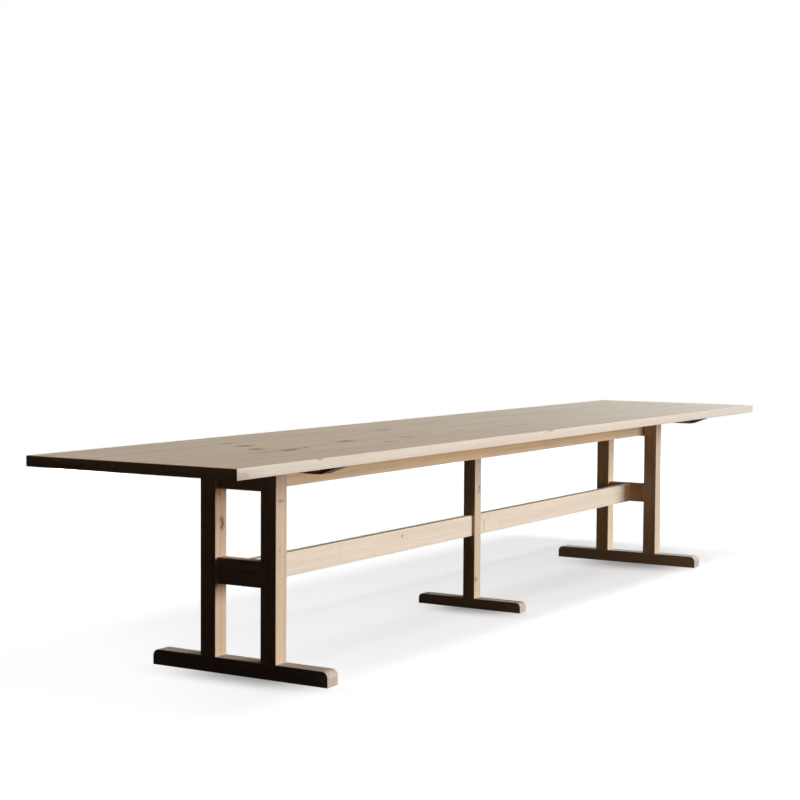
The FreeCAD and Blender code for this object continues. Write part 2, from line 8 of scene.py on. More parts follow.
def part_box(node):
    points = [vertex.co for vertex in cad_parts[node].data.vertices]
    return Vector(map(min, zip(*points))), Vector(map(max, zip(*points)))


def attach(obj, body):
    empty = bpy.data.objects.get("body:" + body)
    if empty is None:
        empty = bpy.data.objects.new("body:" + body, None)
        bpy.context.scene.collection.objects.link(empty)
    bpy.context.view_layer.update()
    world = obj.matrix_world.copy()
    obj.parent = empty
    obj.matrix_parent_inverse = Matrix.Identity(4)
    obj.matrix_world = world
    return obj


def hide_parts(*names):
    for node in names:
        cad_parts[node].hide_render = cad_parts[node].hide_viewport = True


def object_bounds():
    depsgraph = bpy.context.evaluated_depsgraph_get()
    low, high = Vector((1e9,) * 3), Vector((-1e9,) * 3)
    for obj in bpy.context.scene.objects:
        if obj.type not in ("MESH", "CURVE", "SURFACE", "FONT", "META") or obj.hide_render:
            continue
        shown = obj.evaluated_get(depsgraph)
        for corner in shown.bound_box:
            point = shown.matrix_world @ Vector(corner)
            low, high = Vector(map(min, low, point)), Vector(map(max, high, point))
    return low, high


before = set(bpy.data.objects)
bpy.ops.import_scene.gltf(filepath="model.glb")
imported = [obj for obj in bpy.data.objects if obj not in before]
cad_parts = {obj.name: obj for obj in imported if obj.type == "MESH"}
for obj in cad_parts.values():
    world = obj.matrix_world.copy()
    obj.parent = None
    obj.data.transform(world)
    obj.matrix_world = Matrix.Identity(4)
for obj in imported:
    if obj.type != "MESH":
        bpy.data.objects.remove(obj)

bl_info = {
    "name": "Trestle Dining Table",
    "version": (1, 0, 0),
    "blender": (4, 5, 0),
    "location": "View3D > Sidebar > Trestle Table",
    "description": "Finishes a long plank-topped trestle table and sets it in a plain studio",
    "category": "Add Mesh",
}

CAD_LOW, CAD_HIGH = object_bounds()
TOP_LEVEL = CAD_HIGH.z
BODY = "root"
EVERYWHERE = 50.0                   # a half size that takes in the whole table
TURN = 2 * math.pi


# --- Sizes and colours ---

def kind_of_setting(maker, **options):
    """A maker of settings of one kind, each from a name, a description and a default."""
    def make(name, description, default):
        return maker(name=name, description=description, default=default, **options)
    return make


number, numbers = bpy.props.FloatProperty, bpy.props.FloatVectorProperty
length_property = kind_of_setting(number, min=0.0, precision=5, unit="LENGTH")
share_property = kind_of_setting(number, min=0.0, max=1.0, subtype="FACTOR")
strength_property = kind_of_setting(number, min=0.0)
power_property = kind_of_setting(number, min=0.0, unit="POWER")
lens_property = kind_of_setting(number, unit="CAMERA")
place_property = kind_of_setting(numbers, size=3, subtype="XYZ", unit="LENGTH")
colour_property = kind_of_setting(numbers, size=3, min=0.0, max=1.0, subtype="COLOR")


def angle_property(name, description, degrees):
    """An angle, given in degrees."""
    return number(name=name, description=description, default=math.radians(degrees),
                  unit="ROTATION")


class TableSurfaceSettings(bpy.types.PropertyGroup):
    """Sizes of the worked surfaces."""

    outer_arris: length_property("Outer Arris", "Radius of the top's outer arrises", 0.0016)
    seam_arris: length_property("Seam Arris", "Radius of the arrises beside a plank seam", 0.0005)
    grid_step: length_property("Grid Step", "Widest spacing of a plank's grid lines", 0.012)
    knot_step: length_property("Knot Grid Step", "Spacing of the grid lines on a knot", 0.0030)
    plane_ripple: length_property(
        "Plane Ripple", "Depth of the slow waves left by planing", 0.00022)
    edge_waver: length_property("Edge Waver", "How far the long edges wander inwards", 0.0005)
    knot_sink: length_property("Knot Sink", "How far a knot has shrunk below the face", 0.00045)
    screw_shank: length_property("Screw Shank", "Outer radius of a screw's thread", 0.0025)
    screw_head: length_property("Screw Head", "Height of a screw's head", 0.0035)
    screw_edge: length_property("Screw Head Edge", "Radius of the head's rounded edge", 0.0015)
    thread_pitch: length_property("Thread Pitch", "Rise of a screw's thread in one turn", 0.0022)
    thread_depth: length_property("Thread Depth", "Depth of a screw's thread", 0.0008)
    washer_bore: length_property("Washer Bore", "Radius of the hole in a washer", 0.0028)
    washer_edge: length_property("Washer Edge", "Radius of a washer's rounded edges", 0.0004)


class TableFinishSettings(bpy.types.PropertyGroup):
    """Colours and scale of the wood and metal."""

    pale: colour_property("Pale Wood", "Early wood under soap", (0.700, 0.600, 0.490))
    late: colour_property("Late Wood", "The darker line that ends each year", (0.520, 0.405, 0.300))
    warm: colour_property("Warm Streak", "Pinkish streaks along the grain", (0.715, 0.565, 0.430))
    grey: colour_property("Grey Streak", "Duller streaks along the grain", (0.600, 0.520, 0.395))
    pore: colour_property("Pore", "The open pores of the early wood", (0.270, 0.175, 0.105))
    knot: colour_property("Knot", "The heart of a knot", (0.110, 0.055, 0.032))
    halo: colour_property("Knot Halo", "The wood around a knot", (0.350, 0.215, 0.135))
    # Along the arrises this colour is rubbed wear and a painted highlight; it also tints the
    # flecks.
    rubbed: colour_property(
        "Rubbed Arris", "Wood rubbed paler along an arris", (0.780, 0.690, 0.580))
    raw: colour_property("Raw Wood", "Unfinished wood of the hidden pieces", (0.500, 0.340, 0.190))
    steel: colour_property("Plated Steel", "Zinc plating of the screws", (0.620, 0.630, 0.640))
    ring_width: length_property("Ring Width", "Thickness of one year's wood", 0.0031)


class TableStageSettings(bpy.types.PropertyGroup):
    """The studio: floor, lamps and camera."""

    camera_place: place_property(
        "Camera Place", "Where the camera stands", (-6.0248, -3.3171, 1.1749))
    camera_turn: angle_property("Camera Turn", "Turn of the view from +X towards +Y", 31.255)
    camera_dip: angle_property("Camera Dip", "How far the view looks down", 2.911)
    camera_roll: angle_property("Camera Roll", "Turn of the picture, clockwise", -0.355)
    camera_lens: lens_property("Camera Lens", "Focal length on a sensor 36 mm wide", 78.10)
    sky_strength: strength_property("Sky Light", "Strength of the soft light from overhead", 0.37)
    slant_strength: strength_property(
        "Slant Light", "Strength of the light from the upper front", 0.24)
    overhead_colour: colour_property("Overhead Colour", "Colour of the two lights from above",
                                     (1.0, 0.862, 0.610))
    front_strength: strength_property(
        "Front Light", "Strength of the broad low light from the front right", 4.36)
    window_power: power_property("Window Light", "Power of the light at the front right", 31.0)
    near_power: power_property("Near Light", "Power of the warm light in front of the middle", 28.0)
    end_power: power_property("End Light", "Power of the high light beyond the right end", 470.0)
    back_power: power_property("Back Light", "Power of the low light behind", 67.0)
    room_level: share_property("Room Level", "Light that comes from the room itself", 0.002)
    room_colour: colour_property("Room Colour", "Colour of the room's own light", (1.0, 0.56, 0.33))
    floor_bounce: colour_property("Floor Bounce", "How much light the floor throws back",
                                  (0.011, 0.005, 0.003))
    shadow_start: share_property("Shadow Start", "How dark the shadow is at the left end", 0.10)
    shadow_depth: share_property("Shadow Depth", "How dark the shadow is at the right end", 0.26)
    contact_depth: share_property(
        "Contact Depth", "How dark the floor is close beside the feet", 0.60)
    shadow_gain: strength_property(
        "Shadow Gain", "Gain that brings the unshaded floor back to white", 3.10)


def surface_settings():
    """The sizes of the worked surfaces."""
    return bpy.context.scene.table_surface


def finish_settings():
    """The colours of the finishes."""
    return bpy.context.scene.table_finish


def stage_settings():
    """The sizes and levels of the studio."""
    return bpy.context.scene.table_stage


# --- Marks in the wood ---

class Knot(NamedTuple):
    """A knot: its middle and its half sizes along X, Y and Z.

    depth is how dark it is, and push is how far it pushes the rings, in metres.
    """

    middle: tuple
    reach: tuple
    depth: float
    push: float


class Shake(NamedTuple):
    """A short wandering crack up a front face: its middle, half height, width and darkness."""

    middle: tuple
    half_height: float
    width: float
    depth: float


FACE_KNOT_PUSH = 0.005


def top_knot(x, y, along, across, depth, push):
    """A knot that runs straight down through the top."""
    return Knot((x, y, TOP_LEVEL), (along, across, EVERYWHERE), depth, push)


def arris_knot(x, along, across, depth):
    """A small knot on the front upper arris of the top."""
    return Knot((x, CAD_LOW.y, TOP_LEVEL), (along, across, across / 2), depth, 0.0)


def face_knot(x, z, along_x, along_z, depth):
    """A knot that runs from front to back through an upright face."""
    return Knot((x, 0.0, z), (along_x, EVERYWHERE, along_z), depth, FACE_KNOT_PUSH)


FRONT_PLANK_KNOTS = (
    top_knot(-1.470, -0.134, 0.034, 0.014, 0.90, 0.012),
    top_knot(-1.424, -0.126, 0.018, 0.013, 0.90, 0.008),
    top_knot(-1.348, -0.119, 0.014, 0.008, 0.75, 0.006),
    top_knot(-1.570, -0.120, 0.050, 0.026, 0.14, 0.006),
    arris_knot(-1.680, 0.012, 0.006, 0.60),
    Knot((-2.09, CAD_LOW.y, 0.705), (0.060, 0.020, 0.016), 0.25, 0.0),
    top_knot(-0.976, -0.206, 0.022, 0.014, 0.40, 0.010),
    top_knot(-0.750, -0.142, 0.030, 0.012, 0.50, 0.008),
    top_knot(-1.442, -0.261, 0.014, 0.008, 0.25, 0.006),
    top_knot(-0.345, -0.122, 0.026, 0.012, 0.25, 0.010),
    top_knot(0.136, -0.152, 0.040, 0.012, 0.30, 0.010),
    top_knot(-0.020, -0.160, 0.026, 0.010, 0.30, 0.008),
    arris_knot(-0.116, 0.018, 0.006, 0.60),
)
MIDDLE_PLANK_KNOTS = (
    top_knot(-1.497, -0.031, 0.024, 0.015, 1.00, 0.010),
    top_knot(-1.412, 0.080, 0.026, 0.016, 0.90, 0.010),
    top_knot(-1.034, -0.074, 0.026, 0.015, 0.95, 0.012),
    top_knot(-1.060, -0.038, 0.016, 0.010, 0.35, 0.008),
    top_knot(-0.483, 0.124, 0.034, 0.013, 0.60, 0.012),
    top_knot(1.820, 0.030, 0.040, 0.020, 0.16, 0.012),
)
REAR_PLANK_KNOTS = (
    top_knot(-1.370, 0.187, 0.022, 0.012, 0.40, 0.010),
    top_knot(0.095, 0.230, 0.028, 0.014, 0.22, 0.010),
)


# --- Node trees ---

class Wiring:
    """Wires one node tree. Most methods add nodes and return the output that has the result."""

    def __init__(self, tree):
        self.tree = tree

    def put(self, socket, value):
        """Link an output to a socket, or write a plain value into it."""
        if isinstance(value, bpy.types.NodeSocket):
            self.tree.links.new(value, socket)
        elif value is not None:
            socket.default_value = value

    def add(self, kind, inputs=None, **settings):
        """Add a node, set its options and fill the sockets named or numbered in inputs."""
        node = self.tree.nodes.new(kind)
        for name, value in settings.items():
            setattr(node, name, value)
        for key, value in (inputs or {}).items():
            self.put(node.inputs[key], value)
        return node

    def math(self, operation, *values):
        """One arithmetic step."""
        return self.add("ShaderNodeMath", dict(enumerate(values)), operation=operation).outputs[0]

    def times(self, first, second, added=None):
        """The product of two values, with a third added to it where there is one."""
        if added is None:
            return self.math("MULTIPLY", first, second)
        return self.math("MULTIPLY_ADD", first, second, added)

    def vector(self, operation, *values, output="Vector"):
        """One vector step."""
        return self.add("ShaderNodeVectorMath", dict(enumerate(values)),
                        operation=operation).outputs[output]

    def noise(self, vector, detail, roughness=0.5, output="Fac"):
        """Smooth noise of about one lump to the unit."""
        return self.add("ShaderNodeTexNoise",
                        {"Vector": vector, "Scale": 1.0, "Detail": detail, "Roughness": roughness}
                        ).outputs[output]

    def pattern(self, place, pattern, output="Fac"):
        """Noise drawn out along X, where the grain lies."""
        drawn_out = self.vector("MULTIPLY", place, (pattern.along, pattern.across, pattern.across))
        return self.noise(drawn_out, pattern.detail, pattern.roughness, output)

    def line_noise(self, value, scale, detail):
        """Smooth noise that changes with one value."""
        return self.add("ShaderNodeTexNoise", {"W": value, "Scale": scale, "Detail": detail},
                        noise_dimensions="1D").outputs["Fac"]

    def centred(self, noise):
        """Noise moved down to lie about zero."""
        return self.math("SUBTRACT", noise, 0.5)

    def ease(self, value, low, high, start=0.0, end=1.0):
        """Rise smoothly from start to end while the value goes from low to high."""
        inputs = {"Value": value, "From Min": low, "From Max": high, "To Min": start, "To Max": end}
        return self.add("ShaderNodeMapRange", inputs, interpolation_type="SMOOTHSTEP").outputs[0]

    def blend(self, share, first, second, kind="MIX"):
        """Mix two colours."""
        node = self.add("ShaderNodeMix", {0: share, 6: first, 7: second},
                        data_type="RGBA", blend_type=kind)
        return node.outputs[2]

    def split(self, vector):
        """The three parts of a vector."""
        return self.add("ShaderNodeSeparateXYZ", {0: vector}).outputs[:]

    def group(self, name, inputs):
        """Place a node group."""
        node = self.tree.nodes.new("ShaderNodeGroup")
        node.node_tree = node_group(name)
        for key, value in inputs.items():
            self.put(node.inputs[key], value)
        return node


def rgba(colour):
    """A colour with full alpha."""
    return (*colour[:3], 1.0)


def new_group(name, takes, gives):
    """Start a node group and return its wiring and its two ends.

    takes and gives list the names of its sockets under each kind of socket.
    """
    tree = bpy.data.node_groups.new(name, "ShaderNodeTree")
    for way, kinds in (("INPUT", takes), ("OUTPUT", gives)):
        for kind, labels in kinds.items():
            for label in labels:
                tree.interface.new_socket(name=label, in_out=way, socket_type=f"NodeSocket{kind}")
    wiring = Wiring(tree)
    source = wiring.add("NodeGroupInput").outputs
    target = wiring.add("NodeGroupOutput").inputs
    return wiring, source, target


def start_nodes(block):
    """Empty the node tree of a material or a world and return its wiring."""
    block.use_nodes = True
    block.node_tree.nodes.clear()
    return Wiring(block.node_tree)


def node_group(name):
    """Fetch a node group, making it on its first use."""
    if name not in bpy.data.node_groups:
        GROUP_MAKERS[name]()
    return bpy.data.node_groups[name]


class Pattern(NamedTuple):
    """Noise drawn out along the grain: its lumps to the metre along and across, and its detail."""

    along: float
    across: float
    detail: float
    roughness: float = 0.5


BEND = Pattern(0.75, 3.2, 2.0)
TREMBLE = Pattern(5.0, 48.0, 3.0)
FIBRES = Pattern(7.0, 520.0, 3.0, 0.6)
PORE_DASHES = Pattern(38.0, 1150.0, 1.0)
STREAKS = Pattern(0.55, 13.0, 4.0, 0.62)
BANDS = Pattern(0.9, 62.0, 3.0, 0.6)
WAVER = 0.030                       # how far the slow noise bends the rings, in metres
TREMBLE_YEARS = 0.9                 # how far the quick noise moves them, in years
UNEVEN_YEARS = 3.0                  # how far fat and lean years move them
UNEVEN_SCALE = 0.21
LATE_RISE, LATE_DROP = (0.25, 0.9), (0.93, 1.0)
FAINTEST_YEAR = 0.35
SPOT_EDGE = (0.60, 0.72)            # where noise turns into separate spots
PORE_CROWD = (0.10, 0.60, 1.0, 0.22)
FLECK_SCALE = (26.0, 95.0, 14.0)    # along the heart, round it and away from it


def make_growth_group():
    """Year rings as cylinders round the tree's heart, bent by slow noise, with fibres and pores.

    The distance from the heart, pushed outwards near knots, is counted in ring widths. Each ring
    darkens towards its outer side and then drops back to pale. Pores crowd the pale side.
    """
    w, source, target = new_group(
        "Growth Rings", {"Vector": ("Place", "Heart"), "Float": ("Ring Width", "Swirl")},
        {"Float": ("Rings", "Fibre", "Pores", "Flecks", "Streaks", "Bands")})
    place = source["Place"]
    bend = w.vector("SUBTRACT", w.pattern(place, BEND, "Color"), (0.5, 0.5, 0.5))
    bend = w.vector("SCALE", bend, None, None, WAVER)
    from_heart = w.vector("ADD", w.vector("SUBTRACT", place, source["Heart"]), bend)
    along, side, up = w.split(from_heart)
    flat = w.add("ShaderNodeCombineXYZ", {1: side, 2: up}).outputs[0]
    radius = w.math("ADD", w.vector("LENGTH", flat, output="Value"), source["Swirl"])
    years = w.math("DIVIDE", radius, source["Ring Width"])
    years = w.times(w.centred(w.pattern(place, TREMBLE)), TREMBLE_YEARS, years)
    years = w.times(w.line_noise(years, UNEVEN_SCALE, 1.0), UNEVEN_YEARS, years)
    phase = w.math("FRACT", years)
    strength = w.add("ShaderNodeTexWhiteNoise", {"W": w.math("FLOOR", years)},
                     noise_dimensions="1D").outputs["Value"]
    late = w.times(w.ease(phase, *LATE_RISE), w.ease(phase, *LATE_DROP, 1.0, 0.0))
    w.put(target["Rings"], w.times(late, w.ease(strength, 0.0, 1.0, FAINTEST_YEAR, 1.0)))
    w.put(target["Fibre"], w.pattern(place, FIBRES))
    dashes = w.ease(w.pattern(place, PORE_DASHES), *SPOT_EDGE)
    w.put(target["Pores"], w.times(dashes, w.ease(phase, *PORE_CROWD)))
    angle = w.math("ARCTAN2", side, up)
    spokes = w.add("ShaderNodeCombineXYZ", {0: along, 1: angle, 2: radius}).outputs[0]
    spokes = w.noise(w.vector("MULTIPLY", spokes, FLECK_SCALE), 2.0)
    w.put(target["Flecks"], w.ease(spokes, *SPOT_EDGE))
    w.put(target["Streaks"], w.pattern(place, STREAKS))
    w.put(target["Bands"], w.pattern(place, BANDS))


KNOT_NOISE = (60.0, 130.0, 90.0)
CORE_ROUGHNESS, CORE_EDGE = 0.9, (0.60, 1.05)
HALO_ROUGHNESS, HALO_EDGE = 0.7, (0.25, 1.15)
HALO_SPREAD = 2.3                   # the halo's half sizes, in those of the knot
PUSH_FALL = 0.22


def make_knot_group():
    """One knot, added to the marks before it.

    The distance from the knot's middle is counted in its own half sizes and roughened by noise.
    The core is where it is under one, the halo reaches further, and the rings are pushed out by a
    bell curve of it.
    """
    w, source, target = new_group(
        "Knot", {"Vector": ("Place", "Middle", "Reach", "Halo Reach"),
                 "Float": ("Depth", "Push", "Core", "Halo", "Swirl")},
        {"Float": ("Core", "Halo", "Swirl")})
    offset = w.vector("SUBTRACT", source["Place"], source["Middle"])
    rough = w.centred(w.noise(w.vector("MULTIPLY", source["Place"], KNOT_NOISE), 3.0))
    near = w.vector("LENGTH", w.vector("DIVIDE", offset, source["Reach"]), output="Value")
    wide = w.vector("LENGTH", w.vector("DIVIDE", offset, source["Halo Reach"]), output="Value")
    core = w.ease(w.times(rough, CORE_ROUGHNESS, near), *CORE_EDGE, 1.0, 0.0)
    halo = w.ease(w.times(rough, HALO_ROUGHNESS, wide), *HALO_EDGE, 1.0, 0.0)
    for label, mark in (("Core", core), ("Halo", halo)):
        mark = w.times(mark, source["Depth"])
        w.put(target[label], w.math("MAXIMUM", mark, source[label]))
    bell = w.math("EXPONENT", w.times(w.times(near, near), -PUSH_FALL))
    w.put(target["Swirl"], w.times(bell, source["Push"], source["Swirl"]))


SHAKE_WANDER, SHAKE_WANDER_SCALE = 0.030, 62.0
SHAKE_EDGE, SHAKE_ENDS = (0.35, 1.0), (0.7, 1.0)


def make_shake_group():
    """A thin crack that wanders up an X-Z face, added to the cores of the knots."""
    w, source, target = new_group(
        "Shake", {"Vector": ("Place", "Middle"),
                  "Float": ("Half Height", "Width", "Depth", "Core")},
        {"Float": ("Core",)})
    across, _, up = w.split(w.vector("SUBTRACT", source["Place"], source["Middle"]))
    wander = w.line_noise(w.split(source["Place"])[2], SHAKE_WANDER_SCALE, 3.0)
    across = w.math("ABSOLUTE", w.times(w.centred(wander), SHAKE_WANDER, across))
    line = w.ease(w.math("DIVIDE", across, source["Width"]), *SHAKE_EDGE, 1.0, 0.0)
    height = w.math("DIVIDE", w.math("ABSOLUTE", up), source["Half Height"])
    mark = w.times(w.times(line, w.ease(height, *SHAKE_ENDS, 1.0, 0.0)), source["Depth"])
    w.put(target["Core"], w.math("MAXIMUM", mark, source["Core"]))


# The arris mask: where the wood is laid paler, which is rubbed wear and a painted highlight along
# each arris.
WEAR_REACH = 0.0030
WEAR_NOISE, WEAR_ROUGHNESS, WEAR_EDGE = 34.0, 1.1, (-1.0, 0.1)


def make_wear_and_highlight_group():
    """How close a point is to an arris of a box: the middle one of its three depths."""
    w, source, target = new_group(
        "Arris Wear", {"Vector": ("Place", "Middle", "Half Size")}, {"Float": ("Wear",)})
    offset = w.vector("ABSOLUTE", w.vector("SUBTRACT", source["Place"], source["Middle"]))
    x, y, z = w.split(w.vector("SUBTRACT", offset, source["Half Size"]))
    low, high = w.math("MINIMUM", x, y), w.math("MAXIMUM", x, y)
    depth = w.math("MAXIMUM", low, w.math("MINIMUM", high, z))
    rough = w.noise(w.vector("SCALE", source["Place"], None, None, WEAR_NOISE), 4.0, 0.65)
    depth = w.math("DIVIDE", depth, WEAR_REACH)
    depth = w.times(w.centred(rough), WEAR_ROUGHNESS, depth)
    w.put(target["Wear"], w.ease(depth, *WEAR_EDGE))


# How streaks, bands and fibres are eased into shares and shades: low, high, start and end.
WARM_EASE, GREY_EASE = (0.48, 0.72, 0.0, 0.60), (0.30, 0.50, 0.45, 0.0)
BAND_EASE, FIBRE_EASE = (0.30, 0.70, -0.10, 0.08), (0.25, 0.75, 0.93, 1.07)
HEART_EASE = (0.2, 0.8, 0.80, 1.0)
RING_SHARE, WEAR_AND_HIGHLIGHT_SHARE = 0.34, 0.40
# The colour that each mark lays over the wood, and how far it covers it.
LAID_MARKS = {"Flecks": ("Rubbed", 0.22), "Pores": ("Pore", 0.34), "Halo": ("Halo Colour", 0.80)}
# What each mark adds to the roughness and to the height.
PLAIN_ROUGHNESS, PLAIN_HEIGHT = 0.56, 0.5
ROUGHNESS_STEPS = {"Fibre": 0.10, "Rings": -0.07, "Core": -0.12, "Wear": -0.08, "Pores": 0.20}
HEIGHT_STEPS = {"Fibre": 0.45, "Rings": 0.25, "Pores": -0.60, "Core": -0.35}
GROWTH_MARKS = ("Rings", "Fibre", "Pores", "Flecks", "Streaks", "Bands")
FINISH_COLOURS = {"Pale": "pale", "Late": "late", "Warm": "warm", "Grey": "grey", "Pore": "pore",
                  "Knot": "knot", "Halo Colour": "halo", "Rubbed": "rubbed"}
LEFT_OUT_WHEN_RAW = ("Pale", "Warm", "Grey", "Rubbed")


def make_soap_group():
    """Soap-finished wood: every mark over the pale wood, as a colour, a roughness and a height."""
    w, source, target = new_group(
        "Soaped Wood",
        {"Color": (*FINISH_COLOURS, "Tone"),
         "Float": (*GROWTH_MARKS, "Core", "Halo", "Wear", "Figure")},
        {"Color": ("Color",), "Float": ("Roughness", "Height")})
    figure = source["Figure"]
    colour = w.blend(w.times(source["Rings"], w.times(figure, RING_SHARE)),
                     source["Pale"], source["Late"])
    for label, ease in (("Warm", WARM_EASE), ("Grey", GREY_EASE)):
        streak = w.times(w.ease(source["Streaks"], *ease), figure)
        colour = w.blend(streak, colour, source[label])
    banding = w.math("ADD", w.times(w.ease(source["Bands"], *BAND_EASE), figure), 1.0)
    shade = w.times(banding, w.ease(source["Fibre"], *FIBRE_EASE))
    shade = w.add("ShaderNodeCombineColor", dict.fromkeys(range(3), shade)).outputs[0]
    colour = w.blend(1.0, colour, shade, "MULTIPLY")
    for mark, (label, share) in LAID_MARKS.items():
        colour = w.blend(w.times(source[mark], share), colour, source[label])
    heart = w.times(source["Core"], w.ease(source["Fibre"], *HEART_EASE))
    colour = w.blend(heart, colour, source["Knot"])
    # Paler along each arris: rubbed wear and a painted highlight.
    colour = w.blend(w.times(source["Wear"], WEAR_AND_HIGHLIGHT_SHARE), colour, source["Rubbed"])
    w.put(target["Color"], w.blend(1.0, colour, source["Tone"], "MULTIPLY"))
    for label, value, steps in (("Roughness", PLAIN_ROUGHNESS, ROUGHNESS_STEPS),
                                ("Height", PLAIN_HEIGHT, HEIGHT_STEPS)):
        for mark, step in steps.items():
            value = w.times(source[mark], step, value)
        w.put(target[label], value)


GROUP_MAKERS = {
    "Growth Rings": make_growth_group,
    "Knot": make_knot_group,
    "Shake": make_shake_group,
    "Arris Wear": make_wear_and_highlight_group,
    "Soaped Wood": make_soap_group,
}

GRAIN_TURNS = {
    "x": Euler((0.0, 0.0, 0.0)),
    "y": Euler((0.0, 0.0, -math.pi / 2)),
    "z": Euler((0.0, math.pi / 2, 0.0)),
}


class Timber(NamedTuple):
    """How one piece was sawn from the tree, and the marks on it.

    grain: the axis its fibres run along. heart: where the tree's heart lay, sideways and up from
    the piece's middle, in metres, once its grain is turned to X. slide: how far along the trunk it
    was cut. tone: a tint over the common colours. figure: how strongly its rings and streaks show.
    upper_painted_light: a tint for its upper face, which is painted light, and upper_figure: its
    figure there,
    where that differs. end_tone: a tint near its ends, the end grain's own colour on the planks and
    painted shade on the battens' sloped ends, and end_depth: how far that reaches along the grain.
    seams: where along Y a dark line of dirt in the joint and painted shade runs.
    """

    grain: str
    heart: tuple
    slide: float
    tone: tuple = (1.0, 1.0, 1.0)
    figure: float = 1.0
    knots: tuple = ()
    shakes: tuple = ()
    upper_painted_light: tuple = ()
    upper_figure: float = 1.0
    end_tone: tuple = ()
    end_depth: float = 0.0007
    seams: tuple = ()


UPPER_EDGE = (0.0018, 0.0006)       # depths under the top between which the painted light of the upper face begins
SEAM_EDGE = (0.0008, 0.0030)        # distances from a seam between which its dark line fades
# The dark line along each seam is dirt in the joint and painted shade.
SEAM_SHARE, SEAM_DIRT_AND_SHADE = 0.42, (0.20, 0.13, 0.08)
END_EDGE = 0.0004
WOOD_SPECULAR, WOOD_BUMP, WOOD_BUMP_DEPTH = 0.05, 0.55, 0.00016


def knots_and_shakes(w, timber, place):
    """The cores and halos of a timber's marks, and how far its knots push the rings."""
    core, halo, swirl = 0.0, 0.0, 0.0
    for knot in timber.knots:
        spread = [reach * HALO_SPREAD for reach in knot.reach]
        mark = w.group("Knot", {"Place": place, "Middle": knot.middle, "Reach": knot.reach,
                                "Halo Reach": spread, "Depth": knot.depth, "Push": knot.push,
                                "Core": core, "Halo": halo, "Swirl": swirl})
        core, halo, swirl = (mark.outputs[key] for key in ("Core", "Halo", "Swirl"))
    for shake in timber.shakes:
        core = w.group("Shake", {"Place": place, "Middle": shake.middle,
                                 "Half Height": shake.half_height, "Width": shake.width,
                                 "Depth": shake.depth, "Core": core}).outputs["Core"]
    return core, halo, swirl


def tone_and_figure(w, timber, place, middle, half_size):
    """A timber's tint and figure, with those of its upper face, its seams and its ends."""
    tone, figure = rgba(timber.tone), timber.figure
    parts = w.split(place)
    # The upper face's tint is painted light: it stands for the different light that falls on the
    # top.
    if timber.upper_painted_light:
        top = middle[2] + half_size[2]
        on_top = w.ease(parts[2], top - UPPER_EDGE[0], top - UPPER_EDGE[1])
        tone = w.blend(on_top, tone, rgba(timber.upper_painted_light))
        figure = w.times(on_top, timber.upper_figure - figure, figure)
    # Along each seam a dark line of dirt in the joint and painted shade.
    for seam in timber.seams:
        from_seam = w.math("ABSOLUTE", w.math("SUBTRACT", parts[1], seam))
        tone = w.blend(w.ease(from_seam, *SEAM_EDGE, SEAM_SHARE, 0.0), tone, rgba(SEAM_DIRT_AND_SHADE))
    # Near the ends a tint is laid: the end grain's own colour on the planks, painted shade on the
    # battens' sloped ends.
    if timber.end_tone:
        axis = "xyz".index(timber.grain)
        from_middle = w.math("ABSOLUTE", w.math("SUBTRACT", parts[axis], middle[axis]))
        end = half_size[axis] - timber.end_depth
        on_end = w.ease(from_middle, end - END_EDGE, end + END_EDGE)
        tone = w.blend(on_end, tone, rgba(timber.end_tone))
    return tone, figure


def wood_material(name, timber, middle, half_size, raw=False):
    """A solid-wood material whose rings run through the piece, so faces and end grain agree."""
    finish = finish_settings()
    material = bpy.data.materials.new(name)
    w = start_nodes(material)
    place = w.add("ShaderNodeTexCoord").outputs["Object"]
    turn = GRAIN_TURNS[timber.grain]
    shift = Vector((timber.slide, 0.0, 0.0)) - turn.to_matrix() @ Vector(middle)
    sawn = w.add("ShaderNodeMapping", {"Vector": place, "Location": shift, "Rotation": turn})
    core, halo, swirl = knots_and_shakes(w, timber, place)
    growth = w.group("Growth Rings", {
        "Place": sawn.outputs[0], "Heart": (timber.slide, *timber.heart),
        "Ring Width": finish.ring_width, "Swirl": swirl})
    wear = w.group("Arris Wear", {"Place": place, "Middle": middle, "Half Size": half_size})
    tone, figure = tone_and_figure(w, timber, place, middle, half_size)
    inputs = {mark: growth.outputs[mark] for mark in GROWTH_MARKS}
    for label, colour in FINISH_COLOURS.items():
        inputs[label] = rgba(finish.raw if raw and label in LEFT_OUT_WHEN_RAW
                             else getattr(finish, colour))
    inputs.update({"Tone": tone, "Core": core, "Halo": halo, "Wear": wear.outputs["Wear"],
                   "Figure": figure})
    soaped = w.group("Soaped Wood", inputs).outputs
    bump = w.add("ShaderNodeBump", {"Height": soaped["Height"], "Strength": WOOD_BUMP,
                                    "Distance": WOOD_BUMP_DEPTH})
    shader = w.add("ShaderNodeBsdfPrincipled", {
        "Base Color": soaped["Color"], "Roughness": soaped["Roughness"],
        "Normal": bump.outputs["Normal"], "Specular IOR Level": WOOD_SPECULAR})
    w.add("ShaderNodeOutputMaterial", {"Surface": shader.outputs[0]})
    return material


CLOUD_SCALE, CLOUD_EASE, CLOUD_COLOUR = 240.0, (0.35, 0.7, 0.0, 0.5), (0.42, 0.44, 0.46)
TURNING_LINES = (300.0, 300.0, 9000.0)
STEEL_ROUGHNESS, CLOUD_ROUGHNESS = 0.24, 0.22
STEEL_BUMP, STEEL_BUMP_DEPTH = 0.3, 0.00003


